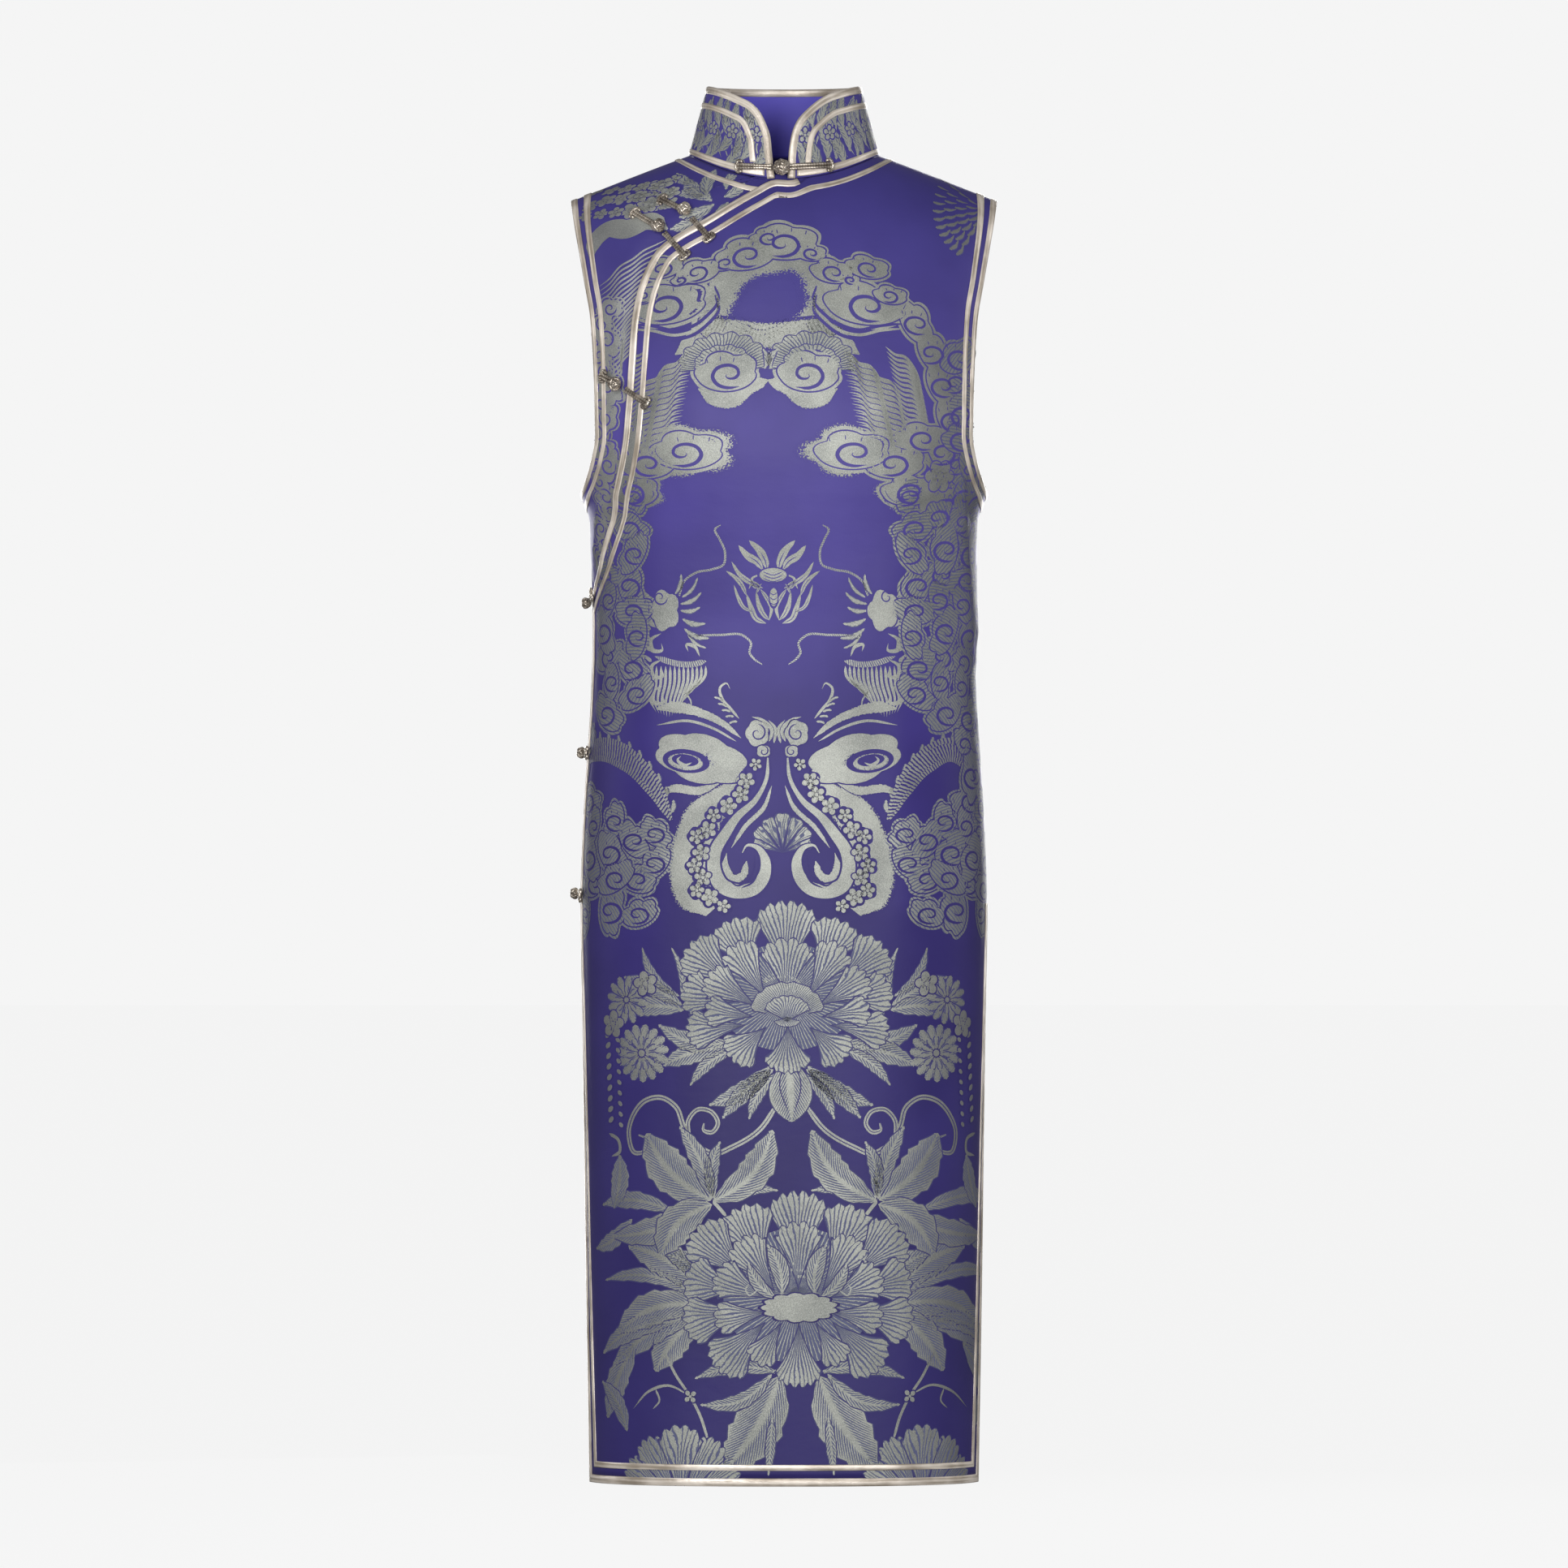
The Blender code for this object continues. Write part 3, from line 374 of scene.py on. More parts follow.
def underlapSurface(place):
    share = np.clip((outsideOf(place, coarsePlacket) - 2) / underlap["ramp"], 0, 1)
    share = share * share * (3 - 2 * share)
    return frontSurface(place) + normals(frontSurface, place, 1) * (underlap["drop"] * (1 - share))[..., None]


def makeMesh(name, points, faces, look, uv):
    mesh = bpy.data.meshes.new(name)
    mesh.vertices.add(len(points))
    mesh.vertices.foreach_set("co", (np.asarray(points, float) * mm).ravel())
    faces = np.asarray(faces, int)
    sides = faces.shape[1]
    mesh.loops.add(faces.size)
    mesh.loops.foreach_set("vertex_index", faces.ravel())
    mesh.polygons.add(len(faces))
    mesh.polygons.foreach_set("loop_start", np.arange(0, faces.size, sides))
    mesh.polygons.foreach_set("loop_total", np.full(len(faces), sides))
    mesh.update(calc_edges=True)
    mesh.validate()
    mesh.polygons.foreach_set("use_smooth", np.full(len(mesh.polygons), True))
    layer = mesh.uv_layers.new(name="cloth")
    layer.data.foreach_set("uv", (np.asarray(uv, float) * mm)[faces.ravel()].ravel())
    mesh.materials.append(look)
    piece = bpy.data.objects.new(name, mesh)
    bpy.context.collection.objects.link(piece)
    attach(piece, "root")
    return piece


def gridFaces(rows, columns, wrap=False):
    row, column = np.meshgrid(np.arange(rows - 1), np.arange(columns if wrap else columns - 1), indexing="ij")
    after = (column + 1) % columns
    quads = [row * columns + column, row * columns + after, (row + 1) * columns + after,
             (row + 1) * columns + column]
    return np.stack(quads, -1).reshape(-1, 4)


def wallFaces(rows, columns):
    # outer grid, inner grid turned round, and a strip along each of the four sides
    outer = gridFaces(rows, columns)
    count = rows * columns
    grid = np.arange(count).reshape(rows, columns)
    rim = np.concatenate([grid[0, :], grid[1:, -1], grid[-1, -2::-1], grid[-2:0:-1, 0]])
    after = np.roll(rim, -1)
    strips = np.stack([after, rim, rim + count, after + count], -1)
    return np.vstack([outer, outer[:, ::-1] + count, strips])


def clothWall(name, node, surface, outward, place, thick, look):
    # a grid of places turned into a closed wall, its UV the flat cloth in metres
    points = surface(place)
    inner = points - normals(surface, place, outward) * thick
    faces = wallFaces(*place.shape[:2])
    if outward < 0:
        faces = faces[:, ::-1]
    flat = flatPlace(place).reshape(-1, 2)
    both = np.vstack([points.reshape(-1, 3), inner.reshape(-1, 3)])
    piece = makeMesh(name, both, faces, look, uv=np.vstack([flat, flat]))
    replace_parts(piece, node)
    return piece


wayTable = np.linspace(-sideWay, sideWay, 241)
wayWide, wayDeep = section(wayTable)
# half the width and depth of the body that flat widths are worked out on
girth = {"halfWidth": 171.0, "halfDepth": 100.0}
wayLength = np.cumsum(np.hypot(np.diff(wayWide) * girth["halfWidth"], np.diff(wayDeep) * girth["halfDepth"]))
wayLength = np.r_[0, wayLength]
wayLength -= wayLength[len(wayLength) // 2]


def flatPlace(place):
    # true width across the cloth, and height, which is close to true all the way up
    return np.stack([np.interp(place[..., 0], wayTable, wayLength), place[..., 1]], -1)


def clothPlace(flat):
    return np.stack([np.interp(flat[..., 0], wayLength, wayTable), flat[..., 1]], -1)


def ruled(left, right, columns):
    share = np.linspace(0, 1, columns)[None, :, None]
    return left[:, None] * (1 - share) + right[:, None] * share


panel = {
    "thick": 1.3,
    "underBinding": 6.2,
    "tuck": 0.8,
    "seam": 0.15,
    "sideSeam": 0.12,
    "neckSeam": 0.2,
    "skirtRows": 160,
    "bodiceRows": 100,
    "columns": 92,
    "underlapColumns": 44,
}


def stepped(surface, z):
    # the cut edge: under the binding beside the slit, and at the seam above it
    ease = np.clip((z - body["slitTop"] + 1) / 1.5, 0, 1)
    return moveIn(surface, slitLine(z), panel["underBinding"] * (1 - ease) + panel["sideSeam"] * ease)


def armholeSide(which):
    return holeLine(which, bands["armhole"] - panel["tuck"])[::-1]


def panelSide(which, low):
    # the cut from the hem up to the armhole and round it, and the height where the armhole begins
    hole = armholeSide(which)
    skirt = stepped(surfaces[which], np.linspace(low, hole[0, 1], panel["skirtRows"]))
    return np.vstack([skirt, smoothLine(hole, panel["bodiceRows"])[1:]]), hole[0, 1]


def makeBack(looks):
    # straight rows, lifted to the shoulder and neck edges over the bodice
    columns = panel["columns"]
    right, _ = panelSide(1, body["hem"] + panel["underBinding"])
    rows = ruled(mirrored(right), right, columns)
    edge = np.vstack([[right[-1]], neckLine(1, panel["neckSeam"])[::-1]])
    edge[:, 1] = np.minimum(edge[:, 1], ridge - panel["seam"])
    half = straightLine(edge, columns // 2 + 1)[:columns // 2]
    topLine = np.vstack([mirrored(half), half[::-1]])
    lift = np.clip((np.arange(len(right)) - panel["skirtRows"]) / panel["bodiceRows"], 0, 1) ** 1.5
    rows = rows + lift[:, None, None] * (topLine - rows[-1])[None]
    clothWall("back_cloth", "back_panel", backSurface, -1, rows, panel["thick"], looks["brocade"])


def makeFront(looks):
    # rows from the slanted edge, then the neck, across to the side and the armhole
    under, skirtRows = panel["underBinding"], panel["skirtRows"]
    low = body["hem"] + under
    right, level = panelSide(-1, low)
    cut = moveIn(frontSurface, placket, under)[::-1]
    slit = moveIn(frontSurface, slitLine(np.linspace(low, body["slitTop"] - 2, 60)), under)
    below = np.vstack([mirrored(slit), cut[cut[:, 1] < level]])
    above = cut[cut[:, 1] >= level]
    neck = neckLine(-1, panel["neckSeam"])
    neck = neck[neck[:, 0] > above[-1, 0] + 2]
    neck[-1, 1] = right[-1, 1] = ridge - panel["seam"]
    heights = right[:skirtRows, 1]
    leftLow = np.stack([np.interp(heights, below[:, 1], below[:, 0]), heights], 1)
    leftHigh = straightLine(np.vstack([above, neck]), panel["bodiceRows"])[1:]
    rows = ruled(np.vstack([leftLow, leftHigh]), right, panel["columns"])
    clothWall("front_cloth", "front_panel", frontSurface, 1, rows, panel["thick"], looks["brocade"])


def makeUnderlap(looks):
    # from the side and armhole across to the edge hidden below the slanted opening
    foot = body["slitTop"] + underlap["foot"]
    hole = mirrored(armholeSide(-1))
    z = np.linspace(foot, hole[0, 1], 60)
    left = np.vstack([mirrored(slitLine(z)) + [underlap["seam"], 0], smoothLine(hole, 100)[1:]])
    hidden = moveIn(frontSurface, placket, underlap["hidden"])[::-1]
    gap = np.abs(outsideOf(hidden, placket))
    hidden = hidden[(hidden[:, 1] > foot) & (gap > underlap["hidden"] * underlap["least"])]
    neck = neckLine(-1, panel["neckSeam"])
    neck[-1, 1] = left[-1, 1] = ridge - panel["seam"]
    start = [[underlap["napeX"], np.interp(underlap["napeX"], neck[:, 0], neck[:, 1])]]
    right = straightLine(np.vstack([[[hidden[0, 0], foot]], hidden, start, mirrored(neck)]), len(left))
    rows = ruled(left, right, panel["underlapColumns"])
    clothWall("underlap_cloth", "underlap", underlapSurface, 1, rows, panel["thick"], looks["brocade"])


def bandSection(low, high, count=14):
    # a flattened oval: share across the band, and height over the cloth
    turn = (np.arange(count) + 0.5) * 2 * math.pi / count
    across, up = np.cos(turn), np.sin(turn)
    share = 0.5 - 0.5 * np.sign(across) * np.abs(across) ** bands["squareAcross"]
    lift = (low + high) / 2 + (high - low) / 2 * np.sign(up) * np.abs(up) ** bands["squareUp"]
    return share, lift


def bandWall(name, node, stretches, heights, look, ring=False):
    # the oval section carried along both edges of the band
    shares, lifts = bandSection(*heights)
    parts = []
    for surface, outward, near, far in stretches:
        place = near[:, None] * (1 - shares[None, :, None]) + far[:, None] * shares[None, :, None]
        parts.append(surface(place) + normals(surface, place, outward) * lifts[None, :, None])
    points = np.concatenate(parts)
    rows, around = points.shape[:2]
    length = runLength(points.mean(1))
    width = np.linalg.norm(points[:, 0] - points[:, around // 2], axis=1).mean()
    uv = np.stack(np.broadcast_arrays(length[:, None], (shares * width)[None]), -1)
    grid = np.arange(rows * around).reshape(rows, around)
    after = np.roll(grid, -1, axis=1)
    if ring:
        nextRow, nextAfter = np.roll(grid, -1, axis=0), np.roll(after, -1, axis=0)
        faces = np.stack([grid, nextRow, nextAfter, after], -1).reshape(-1, 4)
    else:
        faces = np.stack([grid[:-1], grid[1:], after[1:], after[:-1]], -1).reshape(-1, 4)
        k = np.arange(around // 2 - 1)
        cap = np.stack([k, k + 1, around - 2 - k, around - 1 - k], -1)
        faces = np.vstack([faces, cap, cap[:, ::-1] + (rows - 1) * around])
    closedPiece(name, node, points.reshape(-1, 3), faces, look, uv.reshape(-1, 2))


def closedPiece(name, node, points, faces, look, uv):
    # a closed mesh whose faces look out, in place of its node
    if volumeOf(points, faces) < 0:
        faces = faces[:, ::-1]
    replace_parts(makeMesh(name, points, faces, look, uv=uv), node)


def volumeOf(points, faces):
    # signed volume of the fan of triangles of each quad
    centre = points.mean(0)
    a, b, c, d = (points[faces[:, k]] - centre for k in range(4))
    return (np.einsum("ij,ij->i", a, np.cross(b, c)) + np.einsum("ij,ij->i", a, np.cross(c, d))).sum()


def skirtLoop(surface, fromSide, fromHem, top):
    z = np.linspace(top, body["hem"] + fromHem, 130)
    line = moveIn(surface, slitLine(z)[::-1], fromSide)[::-1]
    line[0, 1] = top
    line[-1, 1] = body["hem"] + fromHem
    way = np.linspace(-1, 1, 161)[1:-1] * line[-1, 0]
    hem = np.stack([way, np.full(len(way), body["hem"] + fromHem)], 1)
    return np.vstack([mirrored(line), hem, line[::-1]])


def slantedPair():
    # the second line's two edges: down the neckline, round the corner and along the slanted edge
    pair = []
    for k in (0, 1):
        above = neckLine(-1, bands["neckTrim"][k])[::-1]
        along = moveIn(frontSurface, placket, bands["trim"][k])
        above = above[above[:, 0] > 14 + 2 * k]
        along = along[along[:, 0] < 4 - 2 * k]
        corner = smoothLine(np.vstack([above[-1:], along[:6]]), 12)[1:-1]
        pair.append(np.vstack([straightLine(above, 40), corner, straightLine(along, 190)]))
    return pair


def makeBands(looks):
    look, edge, line = looks["satin"], bands["edgeHeights"], bands["lineHeights"]
    top = body["slitTop"] - bands["slitGap"]
    for name, surface, outward in (("front", frontSurface, 1), ("back", backSurface, -1)):
        near = skirtLoop(surface, 0, 0, top)
        far = skirtLoop(surface, bands["binding"], bands["hemBinding"], top)
        bandWall(f"{name}_hem_edge", f"{name}_hem_binding", [(surface, outward, near, far)], edge, look)
        near, far = (skirtLoop(surface, bands["trim"][k], bands["hemTrim"][k], top) for k in (0, 1))
        bandWall(f"{name}_hem_line", f"{name}_hem_trim", [(surface, outward, near, far)], line, look)

    far = moveIn(frontSurface, placket, bands["binding"])
    bandWall("slanted_edge", "placket_binding", [(frontSurface, 1, placket, far)], edge, look)
    bandWall("slanted_line", "placket_trim", [(frontSurface, 1, *slantedPair())], line, look)

    for hand, turn, surface in (("left", 1, frontSurface), ("right", -1, underlapSurface)):
        for word, kind, reach, heights in (("edge", "binding", (0, bands["armhole"]), edge),
                                           ("line", "trim", bands["armholeTrim"], line)):
            ahead = [holeLine(-1, away) * [turn, 1] for away in reach]
            behind = [(holeLine(1, away) * [turn, 1])[::-1][1:-1] for away in reach]
            stretches = [(surface, 1, *ahead), (backSurface, -1, *behind)]
            bandWall(f"{hand}_armhole_{word}", f"armhole_{kind}_{hand}", stretches, heights, look, ring=True)

    pair = [neckLine(1, away) for away in bands["neckTrim"]]
    pair = [np.vstack([mirrored(part)[::-1], part[1:]]) for part in pair]
    bandWall("neck_line_back", "neckline_trim_back", [(backSurface, -1, *pair)], line, look)
    pair = [mirrored(neckLine(-1, away)[5:]) for away in bands["neckTrim"]]
    bandWall("neck_line_right", "neckline_trim_right", [(underlapSurface, 1, *pair)], line, look)


collar = {
    "topX": 66.0,
    "topFront": 52.0,
    "topBack": 42.0,
    "topZ": 64.0,
    "high": 65.0,
    "scale": 70.0,
    "thick": 2.0,
    "seam": 0.3,
    "underBinding": 6.0,
    "rows": 26,
    "edgeHeights": (-2.7, 0.8),
    "lineGap": 1.2,
    "footGap": 0.6,
    "right": [(-64.5, 63.5), (-52, 59), (-38, 52.5), (-28, 47), (-20.5, 39), (-15.5, 29), (-12, 19),
              (-10.5, 6),
              (-9, -8)],
    "left": [(64.5, 63.5), (50, 59), (33, 52), (20.5, 42), (11.5, 32), (7, 22), (5, 12), (3.8, 2), (3.4, -8)],
}
collarRing = np.vstack([backSurface(neckEdge(1, 90)), frontSurface(neckEdge(-1, 90))[::-1][1:]])
collarTurns = np.linspace(0, math.pi, len(collarRing))


def collarSurface(place):
    # straight lines from the neck's oval to the top oval
    turn = place[..., 0] / collar["scale"]
    up = (place[..., 1] / collar["high"])[..., None]
    lowY = np.interp(np.abs(turn), collarTurns, collarRing[:, 1])
    lowZ = np.interp(np.abs(turn), collarTurns, collarRing[:, 2])
    low = np.stack([body["neckSide"][0] * np.sin(turn), lowY, lowZ], -1)
    reach = np.where(np.cos(turn) > 0, collar["topBack"], collar["topFront"])
    high = np.stack([collar["topX"] * np.sin(turn), reach * np.cos(turn),
                     np.full_like(turn, collar["topZ"])], -1)
    return low + (high - low) * up


def collarEnd(rows):
    rows = np.array(rows, float)
    ways = math.pi - np.arcsin(np.clip(np.abs(rows[:, 0]) / 74, 0, 0.9))
    guess = np.stack([np.sign(rows[0, 0]) * ways * collar["scale"], (rows[:, 1] + 10) * 0.85], 1)
    places = findPlaces(collarSurface, rows, [0, 2], guess)
    return np.vstack([places, [crossing(places, -1, collar["seam"], 1)]])


def collarEdge(count=260):
    left, right = collarEnd(collar["left"]), collarEnd(collar["right"])
    top = np.linspace(left[0, 0] - 12, right[0, 0] + 12, 30)
    top = np.stack([top, np.full(len(top), collar["high"])], 1)
    return smoothLine(np.vstack([left[::-1], top, right]), count)


def makeCollar(looks):
    edge, seam = collarEdge(), collar["seam"]
    inner = moveIn(collarSurface, edge, collar["underBinding"])
    inner[:, 1] = np.maximum(inner[:, 1], seam)
    base = np.stack([np.linspace(inner[0, 0], inner[-1, 0], len(inner)), np.full(len(inner), seam)], 1)
    rows = np.swapaxes(ruled(base, inner, collar["rows"]), 0, 1)
    stand = clothWall("stand_collar", "collar", collarSurface, -1, rows[:, ::-1], collar["thick"],
                      looks["collar"])
    # the inner grid, whose faces come second, takes a lighter copy of the collar colour: painted light on the
    # collar's inner face
    stand.data.materials.append(looks["inside"])
    outerCount = (rows.shape[0] - 1) * (rows.shape[1] - 1)
    whichLook = np.zeros(len(stand.data.polygons), np.int32)
    whichLook[outerCount:2 * outerCount] = 1
    stand.data.polygons.foreach_set("material_index", whichLook)

    look, line = looks["satin"], bands["lineHeights"]
    far = moveIn(collarSurface, edge, bands["binding"])
    bandWall("collar_edge", "collar_binding", [(collarSurface, -1, edge, far)], collar["edgeHeights"], look)
    near, far = (moveIn(collarSurface, edge, away) for away in bands["collarTrim"])
    keep = far[:, 1] > bands["collarBase"][1] + collar["lineGap"]
    bandWall("collar_line", "collar_trim", [(collarSurface, -1, near[keep], far[keep])], line, look)
    limit = moveIn(collarSurface, edge, bands["binding"] + collar["footGap"])
    ways = np.linspace(limit[4, 0], limit[-5, 0], 200)
    near, far = (np.stack([ways, np.full(len(ways), high)], 1) for high in bands["collarBase"])
    bandWall("collar_foot_line", "collar_base_trim", [(collarSurface, -1, far, near)], line, look)


frogs = {
    "cord": 1.42,
    "apart": 1.40,
    "lift": 1.5,
    # name, knot x z, pin end x z, loop end x z, knot width, pin's seat on the underlap
    "slanted": [
        ("upper", (-84, -48), (-106, -36), (-62, -73), 12.0, 0.7),
        ("shoulder", (-106, -62), (-129.5, -47), (-83, -88), 12.0, 0.4),
        ("underarm", (-141, -196), (-155, -187.5), (-115, -213.5), 12.0, 1.5),
    ],
    "neck": {"knot": (-2, -9), "loop": (-40, -8), "pin": (40.6, -7), "knotStop": 3.5, "loopStop": -9.5,
             "wide": 13.5},
    # name, height at the edge, height at the far end
    "edge": [("upper", -381.5, -373), ("middle", -511, -511), ("lower", -632, -634)],
    "edgeReach": 26.0,
    "edgeKnot": 9.5,
    # the curl at a strap's far end, along and across, and the bar over it: along, across, over
    "curl": [(5.6, 3.1), (4.1, 4.5), (2.2, 4.9), (0.9, 4.1), (0.6, 2.6), (1.9, 1.5)],
    "bar": [(1.0, -3.2, 1.9), (0.2, -1.5, 2.2), (0.1, 0, 2.4), (0.2, 1.5, 2.2), (1.0, 3.2, 1.9)],
    "flat": 0.92,
}


def tube(path, up, radius, around=10):
    # rings of points square to the path, and their quads; the ends are closed by a last small ring
    along = unit(np.gradient(path, axis=0))
    sideways = unit(np.cross(along, up))
    upright = np.cross(sideways, along)
    radius = np.broadcast_to(radius, len(path))[:, None, None]
    turn = np.arange(around) * 2 * math.pi / around
    ring = np.cos(turn)[None, :, None] * sideways[:, None] + np.sin(turn)[None, :, None] * upright[:, None]
    points = path[:, None] + ring * radius
    length = runLength(path)
    uv = np.stack(np.broadcast_arrays(length[:, None], (turn * 1.2)[None]), -1)
    faces = gridFaces(len(path), around, wrap=True)
    return points.reshape(-1, 3), faces, uv.reshape(-1, 2)


def roundEnds(count, radius):
    # the radius falls off like a half ball over the first and last rings
    fall = np.full(count, radius)
    fall[[0, -1]] = 0.12 * radius
    fall[[1, -2]] = 0.75 * radius
    return fall


def joined(parts):
    # several tubes as one mesh's arrays
    points, faces, uvs, count = [], [], [], 0
    for spots, quads, uv in parts:
        points.append(spots)
        faces.append(quads + count)
        uvs.append(uv)
        count += len(spots)
    return np.vstack(points), np.vstack(faces), np.vstack(uvs)


def strapFrame(points, normal):
    # turns distances along, across and over the strap into points; past its end it goes on straight
    reach = runLength(points)
    run = unit(np.gradient(points, reach, axis=0))

    def at(local):
        spot, ahead, over = (np.stack([np.interp(local[:, 0], reach, rows[:, k]) for k in range(3)], 1)
                             for rows in (points, run, normal))
        over = unit(over)
        beyond = local[:, 0] - np.clip(local[:, 0], 0, reach[-1])
        across = np.cross(over, ahead)
        return spot + ahead * beyond[:, None] + across * local[:, 1:2] + over * local[:, 2:3], over
    return at, reach[-1]


def frogHalf(name, node, points, normal, knot, look):
    # two cords side by side that curl back at the far end, and a woven ball or an open loop at the other
    at, whole = strapFrame(points, normal)
    gap, thin, radius = frogs["apart"], frogs["cord"], knot / 2
    line = [*frogs["curl"], (4.5, gap), (8, gap)]
    line += [(whole - radius, gap), (whole, gap)] if knot else [(whole - 2, gap), (whole, gap + 0.3)]
    line = np.array([(along, across, thin * frogs["flat"]) for along, across in line], float)
    tubes = []
    for turn in (1, -1):
        path, up = at(smoothLine(line * [1, turn, 1], 60))
        tubes.append(tube(path, up, roundEnds(len(path), thin)))
    path, up = at(smoothLine(frogs["bar"], 22))
    tubes.append(tube(path, up, roundEnds(len(path), thin * 0.9)))
    if knot:
        first, centre = (at(np.array([[along, 0.0, radius * 0.9]])) for along in (whole - 1, whole))
        tubes += knotBall(centre[0][0], centre[1][0], unit((centre[0] - first[0])[0]), radius)
    points, faces, uv = joined(tubes)
    closedPiece(name, node, points, faces, look, uv)


def knotBall(centre, up, ahead, radius):
    # one cord woven round a ball: it swings between the poles four times for each three turns
    across = unit(np.cross(up, ahead))
    ahead = np.cross(across, up)
    basis = np.stack([ahead, across, up])
    t = np.linspace(0, 2 * math.pi, 181)
    swing = 1.02 * np.sin(4 * t)
    out = radius * (0.80 + 0.05 * np.cos(8 * t + 0.6))
    local = np.stack([np.cos(3 * t) * np.cos(swing), np.sin(3 * t) * np.cos(swing), 0.92 * np.sin(swing)], 1)
    away = local @ basis
    path = centre + away * out[:, None]
    cord = tube(path, away, radius * 0.24, 8)
    turn = np.linspace(-1, 1, 12) * math.pi / 2
    core = centre + up * (np.sin(turn) * radius * 0.8)[:, None]
    ball = tube(core, np.broadcast_to(ahead, core.shape), np.maximum(np.cos(turn), 0.02) * radius * 0.8, 16)
    return [cord, ball]


def onSurface(surface, outward, start, end, guess, lift):
    share = np.linspace(0, 1, 14)[:, None]
    target = np.array(start, float) * (1 - share) + np.array(end, float) * share
    place = findPlaces(surface, target, [0, 2], guess(target))
    normal = normals(surface, place, outward)
    return surface(place) + normal * lift, normal, place


def frontGuess(target):
    return np.stack([target[:, 0] * 1.15, target[:, 1]], 1)


def collarGuess(target):
    ways = math.pi - np.abs(target[:, 0]) / 80
    return np.stack([np.where(target[:, 0] < 0, -1, 1) * ways * collar["scale"], target[:, 1] + 15], 1)


def makeFrogs(looks):
    look, lift = looks["cord"], frogs["lift"]
    for name, knot, pin, loop, wide, seat in frogs["slanted"]:
        points, normal, place = onSurface(frontSurface, 1, pin, knot, frontGuess, lift)
        end = underlapSurface(place) + normal * seat
        share = np.clip(1.6 * np.linspace(1, 0, len(place)), 0, 1)[:, None]
        strap = end * share + points * (1 - share)
        frogHalf(f"{name}_frog_knot", f"frog_{name}_knot", strap, normal, wide, look)
        points, normal, _ = onSurface(frontSurface, 1, loop, knot, frontGuess, lift)
        keep = np.linalg.norm(points - points[-1], axis=1) > wide / 2
        frogHalf(f"{name}_frog_loop", f"frog_{name}_loop", points[keep], normal[keep], 0, look)

    neck = frogs["neck"]
    knotX, knotZ = neck["knot"]
    points, normal, _ = onSurface(collarSurface, -1, neck["pin"], (neck["knotStop"], knotZ), collarGuess,
                                  lift)
    centre = np.array([knotX, points[-1, 1] - 1, knotZ])
    points, normal = np.vstack([points, centre]), np.vstack([normal, [0, -1, 0]])
    frogHalf("collar_frog_knot", "frog_collar_knot", points, normal, neck["wide"], look)
    points, normal, _ = onSurface(collarSurface, -1, neck["loop"], (neck["loopStop"], knotZ), collarGuess,
                                  lift)
    frogHalf("collar_frog_loop", "frog_collar_loop", points, normal, 0, look)

    share = np.linspace(0, 1, 14)
    wide = frogs["edgeKnot"]
    for name, z, endZ in frogs["edge"]:
        height = endZ + (z - endZ) * share
        for surface, outward, knot, half in ((frontSurface, 1, 0, "loop"), (backSurface, -1, wide, "knot")):
            ways = -(sideWay - frogs["edgeReach"] * (1 - share) - (0 if knot else wide * 0.85 * share))
            place = np.stack([ways, height], 1)
            normal = normals(surface, place, outward)
            frogHalf(f"side_{name}_frog_{half}", f"frog_side_{name}_{half}", surface(place) + normal * lift,
                     normal, knot, look)


# the woven figures, drafted on squares of 0.7 mm: across from the pattern's axis, down from the neck point
draft = {
    "square": 0.7,
    "axisDown": [100, 802, 1362, 1602],
    "axisX": [-16.8, -4.2, 11.9, 14.7],
    "lift": 0.15,
    "level": 0.035,
    "splitZ": -620,
}


def seenFromFront(points):
    # flat places of what the picture shows at x and z in mm: the sides and the shoulders turn away from it
    x, z = points[..., 0], points[..., 1]
    t = np.linspace(0, 1, 60)
    start = bustShare(t)
    bust, rise = body["bustZ"], body["rise"]
    table = bust * start + rise * (1 - t) ** 2 * t + ridgeHeight(np.abs(x)[..., None] * 1.05) * (1 - start)
    share = ((table < z[..., None]).sum(-1) - 1).clip(0, 58)
    low, high = (np.take_along_axis(table, (share + k)[..., None], -1)[..., 0] for k in (0, 1))
    share = (share + np.clip((z - low) / (high - low), 0, 1)) / 59
    height = np.where(z < bust, z, bust + rise * share)
    start = bustShare(share)
    below = np.minimum(z, bust)
    half = easedTable(below, body["z"], body["halfWidth"]) / section(slitEdge(below))[0]
    wide = np.abs(x) / np.where(z < bust, half, half * start + body["shoulderWidth"] * (1 - start))
    ahead = wayTable >= 0
    return np.stack([np.sign(x) * np.interp(wide, wayWide[ahead], wayLength[ahead]), height], -1)


def drafted(points, mirror=1):
    # squares of the drawing to flat millimetres
    points = np.asarray(points, float)
    down = points[..., 1]
    axis = np.interp(down, draft["axisDown"], draft["axisX"])
    return seenFromFront(np.stack([axis + mirror * points[..., 0] * draft["square"],
                                   -down * draft["square"]], -1))


